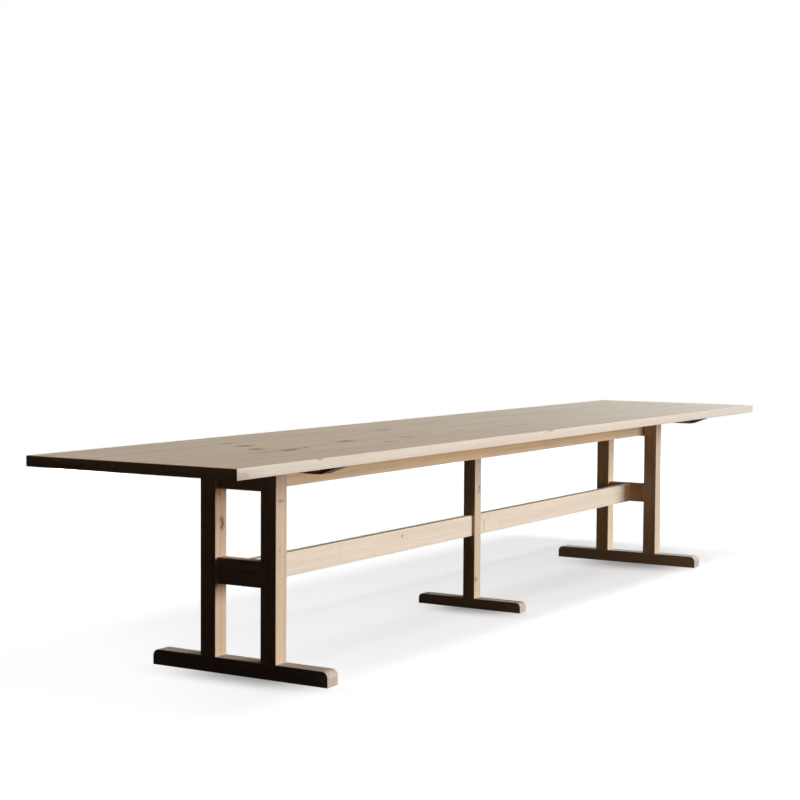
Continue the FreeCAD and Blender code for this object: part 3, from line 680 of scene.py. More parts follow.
def steel_material():
    """Zinc-plated steel: faint clouds in the plating and fine turning lines."""
    material = bpy.data.materials.new("plated_steel")
    w = start_nodes(material)
    place = w.add("ShaderNodeTexCoord").outputs["Object"]
    clouds = w.noise(w.vector("SCALE", place, None, None, CLOUD_SCALE), 3.0)
    lines = w.noise(w.vector("MULTIPLY", place, TURNING_LINES), 2.0)
    dull = w.blend(w.ease(clouds, *CLOUD_EASE), rgba(finish_settings().steel), rgba(CLOUD_COLOUR))
    rough = w.times(clouds, CLOUD_ROUGHNESS, STEEL_ROUGHNESS)
    bump = w.add("ShaderNodeBump", {"Height": lines, "Strength": STEEL_BUMP,
                                    "Distance": STEEL_BUMP_DEPTH})
    shader = w.add("ShaderNodeBsdfPrincipled", {"Base Color": dull, "Roughness": rough,
                                                "Metallic": 1.0, "Normal": bump.outputs["Normal"]})
    w.add("ShaderNodeOutputMaterial", {"Surface": shader.outputs[0]})
    return material


# --- Meshes ---

SHARP_ANGLE = math.radians(40.0)


def dress(piece, material):
    """Give a piece one material all over."""
    piece.data.materials.clear()
    piece.data.materials.append(material)


def dress_node(name, timber, joined=False, raw=False):
    """Give a CAD timber its own solid-wood material.

    Where tenons or other timbers hide both its ends, it is joined, and has no paler arrises there,
    of wear and painted highlight.
    """
    low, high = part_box(name)
    middle = (low + high) / 2
    half_size = (high - low) / 2
    if joined:
        half_size["xyz".index(timber.grain)] += EVERYWHERE
    dress(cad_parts[name], wood_material(f"{name}_wood", timber, middle, half_size, raw))


def new_object(name, data):
    """Put new data into the scene as an object."""
    item = bpy.data.objects.new(name, data)
    bpy.context.scene.collection.objects.link(item)
    return item


def new_piece(name, points, faces, slot, material, *nodes):
    """Make a mesh piece that stands for CAD nodes and rides on the table."""
    mesh = bpy.data.meshes.new(name)
    mesh.from_pydata(points.tolist(), [], faces)
    mesh.polygons.foreach_set("use_smooth", np.ones(len(mesh.polygons), bool))
    mesh.set_sharp_from_angle(angle=SHARP_ANGLE)
    mesh.validate()
    piece = new_object(name, mesh)
    dress(piece, material)
    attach(piece, BODY)
    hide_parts(*nodes)


def tube_faces(rows, columns):
    """Quads of a tube whose rows are closed loops of points, without its ends."""
    row = np.arange(rows - 1)[:, None] * columns
    here = np.arange(columns)[None, :]
    after = (here + 1) % columns
    quads = np.stack([row + here, row + columns + here, row + columns + after, row + after], -1)
    return quads.reshape(-1, 4).tolist()


def smooth_step(value, low, high):
    """Rise from 0 to 1 between low and high, level at both ends."""
    share = np.clip((value - low) / (high - low), 0.0, 1.0)
    return share * share * (3 - 2 * share)


CLOSEST_LINES = 0.8                 # in steps of the fine grid


def grid_lines(low, high, step, centres, reach, fine):
    """Lines from low to high, about a step apart, and finer within reach of the given centres."""
    lines = [np.linspace(low, high, max(2, int(round((high - low) / step)) + 1))]
    for centre, width in zip(centres, reach):
        count = int(2 * width / fine) + 1
        lines.append(np.linspace(centre - width, centre + width, count))
    found = np.concatenate(lines)
    found = np.unique(found[(found > low + fine / 2) & (found < high - fine / 2)])
    spaced = [low]
    for line in found:
        if line - spaced[-1] >= fine * CLOSEST_LINES:
            spaced.append(line)
    return np.array(spaced + [high])


def slow_waves(x, y):
    """A sum of three slow sine waves that bend each other, between 0 and 1."""
    first = np.sin(TURN * x / 0.43 + 1.9 * np.sin(TURN * y / 0.37 + 0.6))
    second = np.sin(TURN * x / 0.171 + 2.3 * np.sin(TURN * y / 0.19) + 1.1)
    third = np.sin(TURN * y / 0.083 + 1.4 * np.sin(TURN * x / 0.61 + 2.0))
    return 0.5 + (0.5 * first + 0.3 * second + 0.2 * third) / 2


ARRIS_POINTS = 5                    # round the quarter circle of a long arris
END_ROWS = 6                        # round the quarter circle at an end
UNDERSIDE_SHARES = np.linspace(0.02, 0.98, 12)
FINE_ALONG, FINE_ACROSS = 1.6, 1.8  # how far a knot's fine grid reaches, in its half sizes
ACROSS_STEP = 0.7                   # spacing of the lines across, in grid steps
CLEAR_OF_ARRIS, CLEAR_OF_END = 1.5, 2.0     # where the grid lines start, in arris radii
TONGUE_PLAY = 0.0001
GROOVE_END_PLAY = 0.0005
HOLLOW_FALL = 1.2                   # how fast a knot's hollow rises from its middle
RIM_PLACE, RIM_FALL, RIM_SHARE = 1.5, 5.0, 0.25
LEVEL_RIM = (0.012, 0.010)          # the level band inside the outline, along X and along Y
WAVER_SCALE, WAVER_LINE = 0.6, 0.13


def plank_profile(front, rear, arrises, grooved, knots, bottom):
    """The cross section of a plank, as a closed loop of points.

    Each is a share across, an offset across, a share up, an offset up and a depth of groove.
    Arrises are quarter circles, and a groove lies in each side that is a seam.
    """
    settings = surface_settings()
    across = grid_lines(front + arrises[0] * CLEAR_OF_ARRIS, rear - arrises[1] * CLEAR_OF_ARRIS,
                        settings.grid_step * ACROSS_STEP, [knot.middle[1] for knot in knots],
                        [knot.reach[1] * FINE_ACROSS for knot in knots], settings.knot_step)
    points = [(share, 0.0, 1.0, 0.0, 0.0) for share in (across - front) / (rear - front)]

    def corner(side, level, face_first):
        for turn in np.linspace(0.0, math.pi / 2, ARRIS_POINTS):
            insets = 1 - math.sin(turn), 1 - math.cos(turn)
            across_in, level_in = insets if face_first else insets[::-1]
            points.append((side, (1 - 2 * side) * arrises[side] * across_in,
                           level, (1 - 2 * level) * arrises[side] * level_in, 0.0))

    def groove(side, downwards):
        low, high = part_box("front_tongue")
        depth = (high.y - low.y) / 2 * (1 - 2 * side)
        levels = [high.z + TONGUE_PLAY, low.z - TONGUE_PLAY]
        shares = [(level - bottom) / (TOP_LEVEL - bottom) for level in levels]
        first, last = shares if downwards else shares[::-1]
        for share, cut in ((first, 0.0), (first, depth), (last, depth), (last, 0.0)):
            points.append((side, 0.0, share, 0.0, cut))

    corner(1, 1, True)
    if grooved[1]:
        groove(1, True)
    corner(1, 0, False)
    points.extend((share, 0.0, 0.0, 0.0, 0.0) for share in UNDERSIDE_SHARES[::-1])
    corner(0, 0, True)
    if grooved[0]:
        groove(0, False)
    corner(0, 1, False)
    return np.array(points)


def plank_surface(front, rear, arrises, grooved, knots):
    """The closed surface of one plank of the top.

    A cross section is carried along X. Each of its points is a mix of the plank's four sides plus
    an offset, and the grooves stop short of the ends, where the section shrinks along a quarter
    circle. The faces carry slow planing waves, the long outer edges wander, and each knot is a
    shallow bell-shaped hollow with a low rim.
    """
    settings = surface_settings()
    low, high = CAD_LOW.x, CAD_HIGH.x
    bottom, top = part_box("front_plank")[0].z, TOP_LEVEL
    along = grid_lines(low, high, settings.grid_step, [knot.middle[0] for knot in knots],
                       [knot.reach[0] * FINE_ALONG for knot in knots], settings.knot_step)
    outer = settings.outer_arris
    round_in = outer * (1 - np.cos(np.linspace(0, math.pi / 2, END_ROWS)))
    clear = outer * CLEAR_OF_END
    along = along[(along > low + clear) & (along < high - clear)]
    stations = np.concatenate([low + round_in, along, (high - round_in)[::-1]])
    from_end = np.minimum(stations - low, high - stations)
    inset = outer - np.sqrt(np.clip(outer ** 2 - np.clip(outer - from_end, 0, None) ** 2, 0, None))

    points = plank_profile(front, rear, arrises, grooved, knots, bottom)
    share_y, offset_y, share_z, offset_z, cut = points.T[:, None, :]
    x = np.repeat(stations[:, None], len(points), 1)
    shrink = inset[:, None]
    waver = settings.edge_waver * slow_waves(stations * WAVER_SCALE, WAVER_LINE)[:, None]
    y_front = front + (shrink * 0 if grooved[0] else waver + shrink)
    y_rear = rear - (shrink * 0 if grooved[1] else waver + shrink)
    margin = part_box("front_tongue")[0].x - low
    cut = cut * (from_end > margin - GROOVE_END_PLAY)[:, None]
    y = y_front * (1 - share_y) + y_rear * share_y + offset_y + cut
    z = (bottom + shrink) * (1 - share_z) + (top - shrink) * share_z + offset_z
    on_top = (share_z == 1.0) * (offset_z == 0.0)
    hollow = settings.plane_ripple * slow_waves(x, y)
    for knot in knots:
        away = ((x - knot.middle[0]) / knot.reach[0]) ** 2
        away = away + ((y - knot.middle[1]) / knot.reach[1]) ** 2
        rim = np.exp(-(np.sqrt(away) - RIM_PLACE) ** 2 * RIM_FALL)
        bell = np.exp(-away * HOLLOW_FALL)
        hollow += settings.knot_sink * knot.depth * (bell - RIM_SHARE * rim)
    edge = smooth_step(np.minimum(x - low, high - x), 0.0, LEVEL_RIM[0])
    edge = edge * smooth_step(np.minimum(y - y_front, y_rear - y), 0.0, LEVEL_RIM[1])
    z = z - np.clip(hollow, 0.0, None) * edge * on_top
    surface = np.stack([x, y, z], -1).reshape(-1, 3)
    rows, columns = len(stations), len(points)
    faces = tube_faces(rows, columns)
    faces.append(list(range(columns)))
    faces.append(list(range((rows - 1) * columns, rows * columns))[::-1])
    return surface, faces


def solid_boxes(node, gap=0.030):
    """The lowest and highest corners of each separate solid in a node.

    Its points are cut apart wherever their X, and then their Y, jumps by more than a gap.
    """
    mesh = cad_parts[node].data
    points = np.empty(len(mesh.vertices) * 3, np.float32)
    mesh.vertices.foreach_get("co", points)
    clusters = [points.reshape(-1, 3)]
    for axis in (0, 1):
        parted = []
        for cluster in clusters:
            cluster = cluster[np.argsort(cluster[:, axis])]
            parted += np.split(cluster, np.flatnonzero(np.diff(cluster[:, axis]) > gap) + 1)
        clusters = parted
    return [(cluster.min(0), cluster.max(0)) for cluster in clusters]


def repeat(points, faces, seats):
    """Copies of one surface, each moved to a seat."""
    moved = (points[None] + np.array(seats)[:, None]).reshape(-1, 3)
    starts = np.arange(len(seats)) * len(points)
    shifted = [[start + corner for corner in face] for start in starts.tolist() for face in faces]
    return moved, shifted


def lathe_points(radii, levels, columns):
    """Points of a turned surface: a radius and a level for each row, swung round the Z axis."""
    turn = np.linspace(0.0, TURN, columns, endpoint=False)[None, :]
    radii = np.broadcast_to(radii, (len(levels), columns))
    levels = np.broadcast_to(np.array(levels)[:, None], radii.shape)
    return np.stack([radii * np.cos(turn), radii * np.sin(turn), levels], -1).reshape(-1, 3)


SCREW_COLUMNS, ROWS_PER_TURN = 36, 6
LOBES, LOBE_DEPTH = 6, 0.15
RECESS_RADII = (0.31, 0.36, 0.40)   # the recess from floor to rim, in head radii
RECESS_LEVELS = (0.45, 0.96, 1.0)   # and how far each row is up the head
HEAD_ROWS = 6                       # round the head's edge
UNDER_HEAD = (0.95, 0.08)           # a small bevel under the head: its radius and its height
NECK_SHARE, POINT_SHARE = 0.10, 0.14
RIDGE_WIDTH, POINT_TIP = 0.30, 0.04


def screw_surface(head_radius, length):
    """A wood screw with its point up and the underside of its head at zero.

    Rows run from the floor of a six-lobed recess, whose radius is a circle plus a cosine of six
    turns, over the head's quarter-circle edge to the shank. The shank's radius drops by the thread
    depth except on a ridge, which follows the level in pitches minus the share of a turn. The point
    shrinks in a straight line.
    """
    settings = surface_settings()
    columns = SCREW_COLUMNS
    turn = np.linspace(0.0, TURN, columns, endpoint=False)
    head, edge, shank = settings.screw_head, settings.screw_edge, settings.screw_shank
    bend = np.linspace(0.0, math.pi / 2, HEAD_ROWS)
    bevel, bevel_height = UNDER_HEAD
    recess = head_radius * np.array(RECESS_RADII)
    rounded = head_radius - edge * (1 - np.sin(bend))
    radii = [share * (1 + LOBE_DEPTH * np.cos(LOBES * turn)) for share in recess]
    radii += [np.full(columns, radius)
              for radius in (*rounded, head_radius, head_radius * bevel, shank)]
    levels = [-head * share for share in RECESS_LEVELS]
    levels += [*(edge * (1 - np.cos(bend)) - head), -head * bevel_height, 0.0, 0.0]
    neck, point = length * NECK_SHARE, length * POINT_SHARE
    count = int((length - neck) / settings.thread_pitch * ROWS_PER_TURN)
    climb = np.linspace(neck, length, count)
    phase = (climb[:, None] / settings.thread_pitch - turn[None, :] / TURN) % 1.0
    ridge = np.clip(1 - np.abs(phase - 0.5) / RIDGE_WIDTH, 0.0, 1.0)
    started = smooth_step(climb, neck, neck + settings.thread_pitch)[:, None]
    taper = np.clip((length - climb) / point, POINT_TIP, 1.0)[:, None]
    thread = (shank - settings.thread_depth * (1 - ridge) * started) * taper
    radii = np.concatenate([np.array(radii), thread])
    levels = np.concatenate([levels, climb])
    rows = len(levels)
    faces = [face[::-1] for face in tube_faces(rows, columns)]
    faces.append(list(range(columns))[::-1])
    faces.append(list(range((rows - 1) * columns, rows * columns)))
    return lathe_points(radii, levels, columns), faces


WASHER_COLUMNS, WASHER_EDGE_ROWS = 48, 4


def washer_surface(radius, thickness):
    """A flat ring with its underside at zero: a rectangle with quarter-circle corners, turned."""
    settings = surface_settings()
    columns, edge, bore = WASHER_COLUMNS, settings.washer_edge, settings.washer_bore
    bend = np.linspace(0.0, math.pi / 2, WASHER_EDGE_ROWS)
    corners = ((radius, thickness, 1, 1), (bore, thickness, -1, 1), (bore, 0.0, -1, -1),
               (radius, 0.0, 1, -1))
    radii, levels = [], []
    for quarter, (corner_radius, level, outward, upward) in enumerate(corners):
        angle = bend + quarter * math.pi / 2
        radii += [*(corner_radius - outward * edge + edge * np.cos(angle))]
        levels += [*(level - upward * edge + edge * np.sin(angle))]
    rows = len(levels)
    faces = np.array(tube_faces(rows + 1, columns)) % (rows * columns)
    return lathe_points(np.array(radii)[:, None], levels, columns), faces[:, ::-1].tolist()


# --- Operators ---

UPPER_FIGURE, TOP_END_TONE = 1.3, (0.95, 0.74, 0.60)


def plank_material(node, timber):
    """The wood of one plank, whose paler arrises, of wear and painted highlight, lie along the
    outline of the whole top.
    """
    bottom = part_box(node)[0].z
    middle = Vector((0.0, 0.0, (TOP_LEVEL + bottom) / 2))
    half_size = Vector((CAD_HIGH.x, CAD_HIGH.y, (TOP_LEVEL - bottom) / 2))
    return wood_material(f"{node}_wood", timber, middle, half_size)


class TABLE_OT_top_planks(bpy.types.Operator):
    """Make the three planks of the top, edge to edge"""

    bl_idname = "table.top_planks"
    bl_label = "Top Planks"

    def execute(self, context):
        settings = surface_settings()
        outer, seam = settings.outer_arris, settings.seam_arris
        front_seam, rear_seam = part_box("front_plank")[1].y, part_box("rear_plank")[0].y
        # Each plank's upper tint is painted light, for the light that falls on its top face.
        planks = (
            ("front_plank", CAD_LOW.y, front_seam, (outer, seam), (False, True),
             Timber("x", (-0.24, -0.075), 3.1, (1.00, 0.982, 1.015), 0.45, FRONT_PLANK_KNOTS,
                    upper_painted_light=(1.04, 0.93, 0.91), seams=(front_seam,))),
            ("middle_plank", front_seam, rear_seam, (seam, seam), (True, True),
             Timber("x", (0.05, -0.110), 11.7, (1.0, 0.99, 0.96), 1.0, MIDDLE_PLANK_KNOTS,
                    upper_painted_light=(1.035, 0.94, 0.895), seams=(front_seam, rear_seam))),
            ("rear_plank", rear_seam, CAD_HIGH.y, (seam, outer), (True, False),
             Timber("x", (0.33, -0.085), 21.3, (0.97, 0.965, 0.96), 1.0, REAR_PLANK_KNOTS,
                    upper_painted_light=(1.025, 0.925, 0.91), seams=(rear_seam,))),
        )
        for node, front, rear, arrises, grooved, timber in planks:
            timber = timber._replace(upper_figure=UPPER_FIGURE, end_tone=TOP_END_TONE)
            points, faces = plank_surface(front, rear, arrises, grooved, timber.knots)
            new_piece(f"{node}_worked", points, faces, "top_planks", plank_material(node, timber),
                      node)
        for node, slide in (("front_tongue", 31.0), ("rear_tongue", 32.0)):
            dress_node(node, Timber("x", (0.03, -0.06), slide), raw=True)
        return {"FINISHED"}


class Trestle(NamedTuple):
    """What tells the end trestles apart: where on the trunk they were cut, tints and knots."""

    slide: float
    tone: tuple
    rear_tone: tuple
    bar_tone: tuple
    front_knots: tuple
    rear_knots: tuple = ()


TRESTLES = {
    "left": Trestle(
        0.0, (0.927, 0.789, 0.698), (0.911, 0.737, 0.605), (0.927, 0.789, 0.698),
        (face_knot(-1.5340, 0.5735, 0.0070, 0.0040, 0.50),
         face_knot(-1.5230, 0.5725, 0.0110, 0.0013, 0.55),
         face_knot(-1.5368, 0.4153, 0.0030, 0.0060, 0.25)),
        (face_knot(-1.5359, 0.5813, 0.0030, 0.0045, 0.65),
         face_knot(-1.5250, 0.4980, 0.0065, 0.0080, 0.75),
         face_knot(-1.5190, 0.4860, 0.0070, 0.0100, 0.80),
         face_knot(-1.5240, 0.4720, 0.0060, 0.0080, 0.70))),
    "right": Trestle(
        7.0, (0.940, 0.830, 0.760), (1.06, 0.93, 0.780), (1.12, 0.88, 0.74),
        (face_knot(1.5485, 0.5161, 0.0040, 0.0050, 0.55),
         face_knot(1.5440, 0.4700, 0.0030, 0.0040, 0.45))),
}
END_FOOT_TONE, CENTRE_FOOT_TONE = (0.795, 0.750, 0.765), (0.81, 0.765, 0.795)
# The near-black tint on the battens' sloped ends is painted shade.
BATTEN_TONE, BATTEN_SLOPE_PAINTED_SHADE, BATTEN_SLOPE = (0.62, 0.47, 0.38), (0.26, 0.19, 0.13), 0.061
CENTRE_POST_TONE = (0.885, 0.790, 0.705)
STRETCHER_TONE, STRETCHER_FIGURE = (1.117, 1.055, 1.015), 0.5
# The rails' tint is lifted and warmed to stand in for the warm light bounced onto them in the top's
# shade: painted light.
RAIL_PAINTED_BOUNCE_TONE = (1.240, 1.035, 0.795)
CENTRE_POST_KNOTS = (
    face_knot(0.0085, 0.4840, 0.0040, 0.0035, 0.75),
    face_knot(0.0115, 0.4760, 0.0035, 0.0055, 0.70),
    face_knot(0.0060, 0.4640, 0.0060, 0.0030, 0.55),
    face_knot(-0.0130, 0.1160, 0.0050, 0.0070, 0.75),
)
LEFT_STRETCHER_KNOTS = (face_knot(-0.5639, 0.3471, 0.0040, 0.0035, 0.75),)
LEFT_STRETCHER_SHAKES = (Shake((-0.982, 0.0, 0.350), 0.030, 0.0016, 0.45),)
RIGHT_STRETCHER_SHAKES = (Shake((0.072, 0.0, 0.318), 0.030, 0.0030, 0.85),)


class TABLE_OT_end_trestles(bpy.types.Operator):
    """Finish the six timbers of each end trestle"""

    bl_idname = "table.end_trestles"
    bl_label = "End Trestles"

    def execute(self, context):
        for side, (slide, tone, rear_tone, bar_tone, front_knots, rear_knots) in TRESTLES.items():
            joined = {
                "front_post": Timber("z", (0.07, 0.05), 43.0, tone, knots=front_knots),
                "rear_post": Timber("z", (0.06, -0.06), 45.0, rear_tone, knots=rear_knots),
                "mid_crossbar": Timber("y", (0.05, -0.04), 47.0, bar_tone),
                "upper_crossbar": Timber("y", (0.06, 0.03), 49.0, tone),
            }
            loose = {
                "foot": Timber("y", (0.03, -0.09), 41.0, END_FOOT_TONE),
                "top_batten": Timber("y", (0.02, 0.07), 51.0, BATTEN_TONE,
                                     end_tone=BATTEN_SLOPE_PAINTED_SHADE, end_depth=BATTEN_SLOPE),
            }
            for part, timber in {**joined, **loose}.items():
                timber = timber._replace(slide=timber.slide + slide)
                dress_node(f"{side}_{part}", timber, part in joined)
        return {"FINISHED"}


class TABLE_OT_centre_leg(bpy.types.Operator):
    """Finish the centre post, its foot and the cross rail above it"""

    bl_idname = "table.centre_leg"
    bl_label = "Centre Leg"

    def execute(self, context):
        dress_node("centre_foot", Timber("y", (0.04, -0.07), 61.0, CENTRE_FOOT_TONE))
        dress_node("centre_post", Timber("z", (-0.06, 0.05), 63.0, CENTRE_POST_TONE,
                                         knots=CENTRE_POST_KNOTS), joined=True)
        dress_node("centre_cross_rail", Timber("y", (0.05, 0.05), 65.0), joined=True)
        return {"FINISHED"}


class TABLE_OT_rails(bpy.types.Operator):
    """Finish the upper rails and the low stretcher"""

    bl_idname = "table.rails"
    bl_label = "Rails and Stretchers"

    def execute(self, context):
        stretcher = (STRETCHER_TONE, STRETCHER_FIGURE)
        timbers = {
            "left_stretcher": Timber("x", (0.085, -0.02), 71.0, *stretcher, LEFT_STRETCHER_KNOTS,
                                     LEFT_STRETCHER_SHAKES),
            "right_stretcher": Timber("x", (0.080, 0.03), 75.0, *stretcher,
                                      shakes=RIGHT_STRETCHER_SHAKES),
            "front_upper_rail": Timber("x", (0.095, 0.01), 79.0, RAIL_PAINTED_BOUNCE_TONE),
            "rear_upper_rail": Timber("x", (0.095, -0.03), 84.0, RAIL_PAINTED_BOUNCE_TONE),
        }
        for node, timber in timbers.items():
            dress_node(node, timber, joined=True)
        return {"FINISHED"}


class TABLE_OT_fastenings(bpy.types.Operator):
    """Make the screws and washers under the top and finish the buttons"""

    bl_idname = "table.fastenings"
    bl_label = "Fastenings"

    def execute(self, context):
        steel = steel_material()
        head = surface_settings().screw_head
        for node in ("batten_screws", "button_screws"):
            boxes = solid_boxes(node)
            size = boxes[0][1] - boxes[0][0]
            points, faces = screw_surface(size[0] / 2, size[2] - head)
            seats = [(*(low + high)[:2] / 2, low[2] + head) for low, high in boxes]
            new_piece(f"{node}_threaded", *repeat(points, faces, seats), "screw_steel", steel, node)
        boxes = solid_boxes("batten_washers")
        size = boxes[0][1] - boxes[0][0]
        seats = [(*(low + high)[:2] / 2, low[2]) for low, high in boxes]
        washers = repeat(*washer_surface(size[0] / 2, size[2]), seats)
        new_piece("batten_washers_rounded", *washers, "screw_steel", steel, "batten_washers")
        dress_node("table_buttons", Timber("x", (0.02, -0.05), 91.0), raw=True)
        return {"FINISHED"}


def seen_or_felt(w, seen, felt):
    """One shader for the eye, mirrors and glass, and another for the light that falls on pieces."""
    path = w.add("ShaderNodeLightPath").outputs
    direct = w.math("MAXIMUM", path["Is Camera Ray"], path["Is Glossy Ray"])
    direct = w.math("MAXIMUM", direct, path["Is Transmission Ray"])
    return w.add("ShaderNodeMixShader", {0: direct, 1: felt.outputs[0], 2: seen.outputs[0]})


# How far the painted shade beside each foot reaches from its left face.
CONTACT_REACH = {"left_foot": 0.175, "centre_foot": 0.190, "right_foot": 0.310}
CONTACT_MIDDLE = -0.04              # where along Y it is darkest
CONTACT_CORE = 0.05                 # and how far it stays so
CONTACT_AT_END = 0.18
CONTACT_END = (-0.05, 0.10)         # where it stops, from the end of the foot


def contact_shade(w, x, y, depth):
    """How bright the floor stays under the painted shade beside each foot: least against its left
    face, near its middle.
    """
    shade = 1.0
    aside = w.math("ABSOLUTE", w.math("SUBTRACT", y, CONTACT_MIDDLE))
    for node, reach in CONTACT_REACH.items():
        low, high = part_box(node)
        beside = w.times(w.ease(w.math("SUBTRACT", low.x, x), 0.0, reach, 1.0, 0.0),
                         w.ease(x, low.x, high.x, 1.0, 0.0))
        stop, gone = (high.y + distance for distance in CONTACT_END)
        along = w.times(w.ease(aside, CONTACT_CORE, high.y, 1.0, CONTACT_AT_END),
                        w.ease(aside, stop, gone, 1.0, 0.0))
        shade = w.times(w.times(w.times(beside, along), -depth, 1.0), shade)
    return shade


class ShadowStep(NamedTuple):
    """Where the floor's shadow changes strength.

    lean: the weights of X, Y and Z in the distance. low, high: where the change starts and ends.
    before, after: the factors on the two sides of it.
    """

    lean: tuple
    low: float
    high: float
    before: float
    after: float


SHADOW_STEPS = (
    ShadowStep((1.0, -0.7, 0.0), -2.13, -1.23, 0.1, 1.0),
    ShadowStep((1.0, -0.8, 0.0), 1.72, 2.25, 1.0, 0.20),
    ShadowStep((0.0, 1.0, 0.0), -0.04, 0.20, 2.30, 0.92),
    ShadowStep((0.0, 1.0, 0.0), 0.41, 0.56, 1.0, 2.25),
)
FLOOR_HALF_SIZE = 60.0
SHADOW_FULL = 0.9                   # where along X the shadow is full, in shares of the right end
CATCHER_SIZE, CATCHER_SMOOTH = 0.44, 0.06


def make_floor(settings):
    """A wide flat floor: white where nothing shades it, and a dim reflector of light.

    Its shadow is that of the light from overhead: a narrow reflector leaves out the low lamps.
    How dark it falls is set by place, and beside each foot a painted shade darkens the floor.
    """
    signs = np.array([(-1.0, -1.0, 0.0), (1.0, -1.0, 0.0), (1.0, 1.0, 0.0), (-1.0, 1.0, 0.0)])
    mesh = bpy.data.meshes.new("studio_floor")
    mesh.from_pydata((signs * FLOOR_HALF_SIZE).tolist(), [], [(0, 1, 2, 3)])
    floor = new_object("studio_floor", mesh)
    material = bpy.data.materials.new("pale_floor")
    w = start_nodes(material)
    place = w.add("ShaderNodeTexCoord").outputs["Object"]
    x, y, _ = w.split(place)
    depth = w.ease(x, CAD_LOW.x, CAD_HIGH.x * SHADOW_FULL,
                   settings.shadow_start, settings.shadow_depth)
    for step in SHADOW_STEPS:
        distance = w.vector("DOT_PRODUCT", place, step.lean, output="Value")
        depth = w.times(depth, w.ease(distance, step.low, step.high, step.before, step.after))
    shade = contact_shade(w, x, y, settings.contact_depth)
    plain = w.times(w.math("SUBTRACT", 1.0, depth), shade)
    base = w.add("ShaderNodeEmission", {"Color": (1.0, 1.0, 1.0, 1.0), "Strength": plain})
    depth = w.times(depth, shade)
    lit = {part: w.times(depth, settings.shadow_gain / level)
           for part, level in enumerate(settings.overhead_colour)}
    catcher = w.add("ShaderNodeBsdfToon", {
        "Color": w.add("ShaderNodeCombineColor", lit).outputs[0],
        "Size": CATCHER_SIZE, "Smooth": CATCHER_SMOOTH})
    shown = w.add("ShaderNodeAddShader", {0: base.outputs[0], 1: catcher.outputs[0]})
    dim = w.add("ShaderNodeBsdfDiffuse", {"Color": rgba(settings.floor_bounce)})
    w.add("ShaderNodeOutputMaterial", {"Surface": seen_or_felt(w, shown, dim).outputs[0]})
    dress(floor, material)


def make_room(settings):
    """A white surround for the eye that gives off little light of its own."""
    world = bpy.data.worlds.new("studio_room")
    bpy.context.scene.world = world
    w = start_nodes(world)
    dim = w.add("ShaderNodeBackground", {"Color": rgba(settings.room_colour),
                                         "Strength": settings.room_level})
    white = w.add("ShaderNodeBackground", {"Color": (1.0, 1.0, 1.0, 1.0), "Strength": 1.0})
    w.add("ShaderNodeOutputWorld", {"Surface": seen_or_felt(w, white, dim).outputs[0]})


class Lamp(NamedTuple):
    """A lamp: its name, the setting of its level, its place, its target and its colour.

    A near one has the width and height of its rectangle, and a distant one a spread in degrees. A
    lamp without a colour has that of the light from overhead.
    """

    name: str
    level: str
    place: tuple
    target: tuple = (0.0, 0.0, 0.0)
    colour: tuple = ()
    size: tuple = ()
    spread: float = 12.0


LAMPS = (
    Lamp("sky_light", "sky_strength", (-0.05, -0.12, 1.0)),
    Lamp("slant_light", "slant_strength", (0.0, -0.72, 1.0)),
    Lamp("front_light", "front_strength", (0.7, -1.0, 0.25), colour=(0.872, 0.954, 1.0),
         spread=40.0),
    Lamp("window_light", "window_power", (3.3, -6.2, 0.70), (1.6, 0.0, 0.5), (0.54, 0.785, 1.0),
         (1.5, 1.3)),
    Lamp("near_light", "near_power", (-0.15, -4.2, 0.60), (0.9, 0.0, 0.4), (1.0, 0.66, 0.38),
         (1.1, 1.0)),
    Lamp("end_light", "end_power", (8.5, 0.5, 4.2), (1.0, 0.0, 0.7), (0.62, 0.87, 1.0),
         (3.0, 3.0)),
    Lamp("back_light", "back_power", (3.4, 5.6, 0.5), (1.6, 0.0, 0.4), (1.0, 0.66, 0.40),
         (4.0, 0.8)),
)


def make_lamp(lamp, settings):
    """Add one lamp to the scene and aim it."""
    light = bpy.data.lights.new(lamp.name, "AREA" if lamp.size else "SUN")
    if lamp.size:
        light.shape = "RECTANGLE"
        light.size, light.size_y = lamp.size
    else:
        light.angle = math.radians(lamp.spread)
    light.energy = getattr(settings, lamp.level)
    light.color = lamp.colour or settings.overhead_colour
    item = new_object(lamp.name, light)
    item.location = lamp.place
    ahead = Vector(lamp.target) - Vector(lamp.place)
    item.rotation_euler = ahead.to_track_quat("-Z", "Y").to_euler()


SENSOR_WIDTH, FARTHEST_SEEN = 36.0, 200.0   # in millimetres and in metres


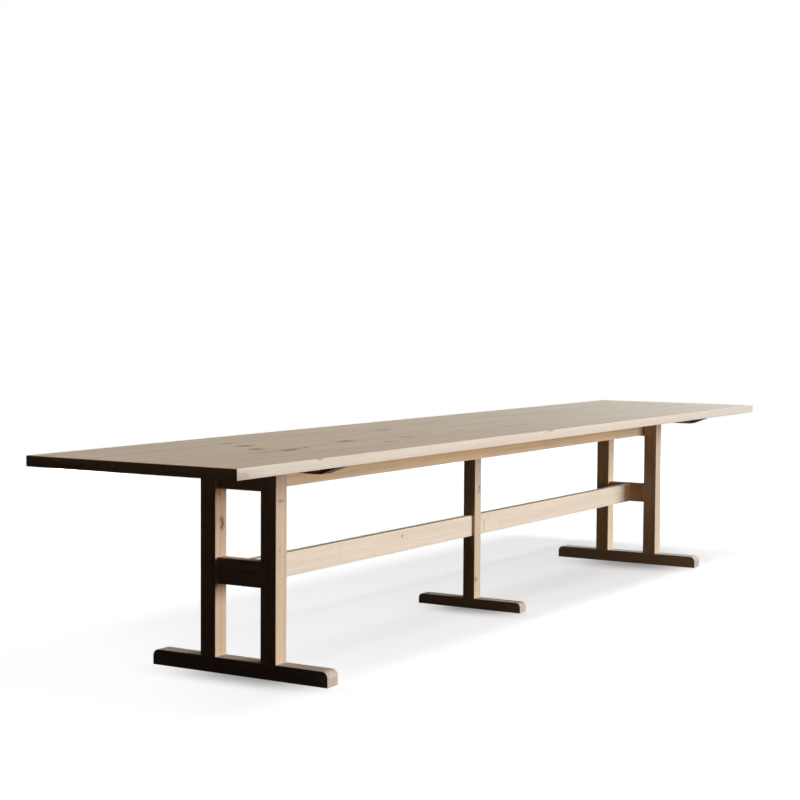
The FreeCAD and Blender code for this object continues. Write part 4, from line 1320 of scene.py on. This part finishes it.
def make_camera(settings):
    """The camera, placed by its turn, dip and roll."""
    camera = new_object("camera", bpy.data.cameras.new("camera"))
    turn, dip, roll = settings.camera_turn, settings.camera_dip, settings.camera_roll
    ahead = Vector((math.cos(turn) * math.cos(dip), math.sin(turn) * math.cos(dip), -math.sin(dip)))
    level = Vector((math.sin(turn), -math.cos(turn), 0.0))
    down = ahead.cross(level)
    right = math.cos(roll) * level + math.sin(roll) * down
    up = math.sin(roll) * level - math.cos(roll) * down
    axes = Matrix((right, up, -ahead)).transposed()
    camera.matrix_world = Matrix.Translation(Vector(settings.camera_place)) @ axes.to_4x4()
    camera.data.sensor_width = SENSOR_WIDTH
    camera.data.lens = settings.camera_lens
    camera.data.clip_end = FARTHEST_SEEN
    bpy.context.scene.camera = camera


class TABLE_OT_studio(bpy.types.Operator):
    """Set the floor, the room, the lamps and the camera"""

    bl_idname = "table.studio"
    bl_label = "Studio"

    def execute(self, context):
        settings = stage_settings()
        make_floor(settings)
        make_room(settings)
        for lamp in LAMPS:
            make_lamp(lamp, settings)
        make_camera(settings)
        context.scene.view_settings.view_transform = "Standard"
        return {"FINISHED"}


class TABLE_PT_panel(bpy.types.Panel):
    """The table's tools in the sidebar"""

    bl_idname = "TABLE_PT_panel"
    bl_label = "Trestle Table"
    bl_space_type = "VIEW_3D"
    bl_region_type = "UI"
    bl_category = "Trestle Table"

    def draw(self, context):
        for operator in OPERATORS:
            self.layout.operator(operator.bl_idname)
        for settings in (surface_settings(), finish_settings(), stage_settings()):
            box = self.layout.box()
            for name in settings.__annotations__:
                box.prop(settings, name)


OPERATORS = (TABLE_OT_top_planks, TABLE_OT_end_trestles, TABLE_OT_centre_leg, TABLE_OT_rails,
             TABLE_OT_fastenings, TABLE_OT_studio)
SETTINGS = {"table_surface": TableSurfaceSettings, "table_finish": TableFinishSettings,
            "table_stage": TableStageSettings}


def register():
    """Make the settings, the operators and the panel known to Blender."""
    for name, group in SETTINGS.items():
        bpy.utils.register_class(group)
        setattr(bpy.types.Scene, name, bpy.props.PointerProperty(type=group))
    for item in (*OPERATORS, TABLE_PT_panel):
        bpy.utils.register_class(item)


def unregister():
    """Take them all back."""
    for item in reversed((*OPERATORS, TABLE_PT_panel)):
        bpy.utils.unregister_class(item)
    for name, group in SETTINGS.items():
        delattr(bpy.types.Scene, name)
        bpy.utils.unregister_class(group)


def main():
    """Build the whole scene."""
    register()
    bpy.ops.table.top_planks()
    bpy.ops.table.end_trestles()
    bpy.ops.table.centre_leg()
    bpy.ops.table.rails()
    bpy.ops.table.fastenings()
    bpy.ops.table.studio()
    bpy.context.view_layer.update()


if __name__ == "__main__":
    main()
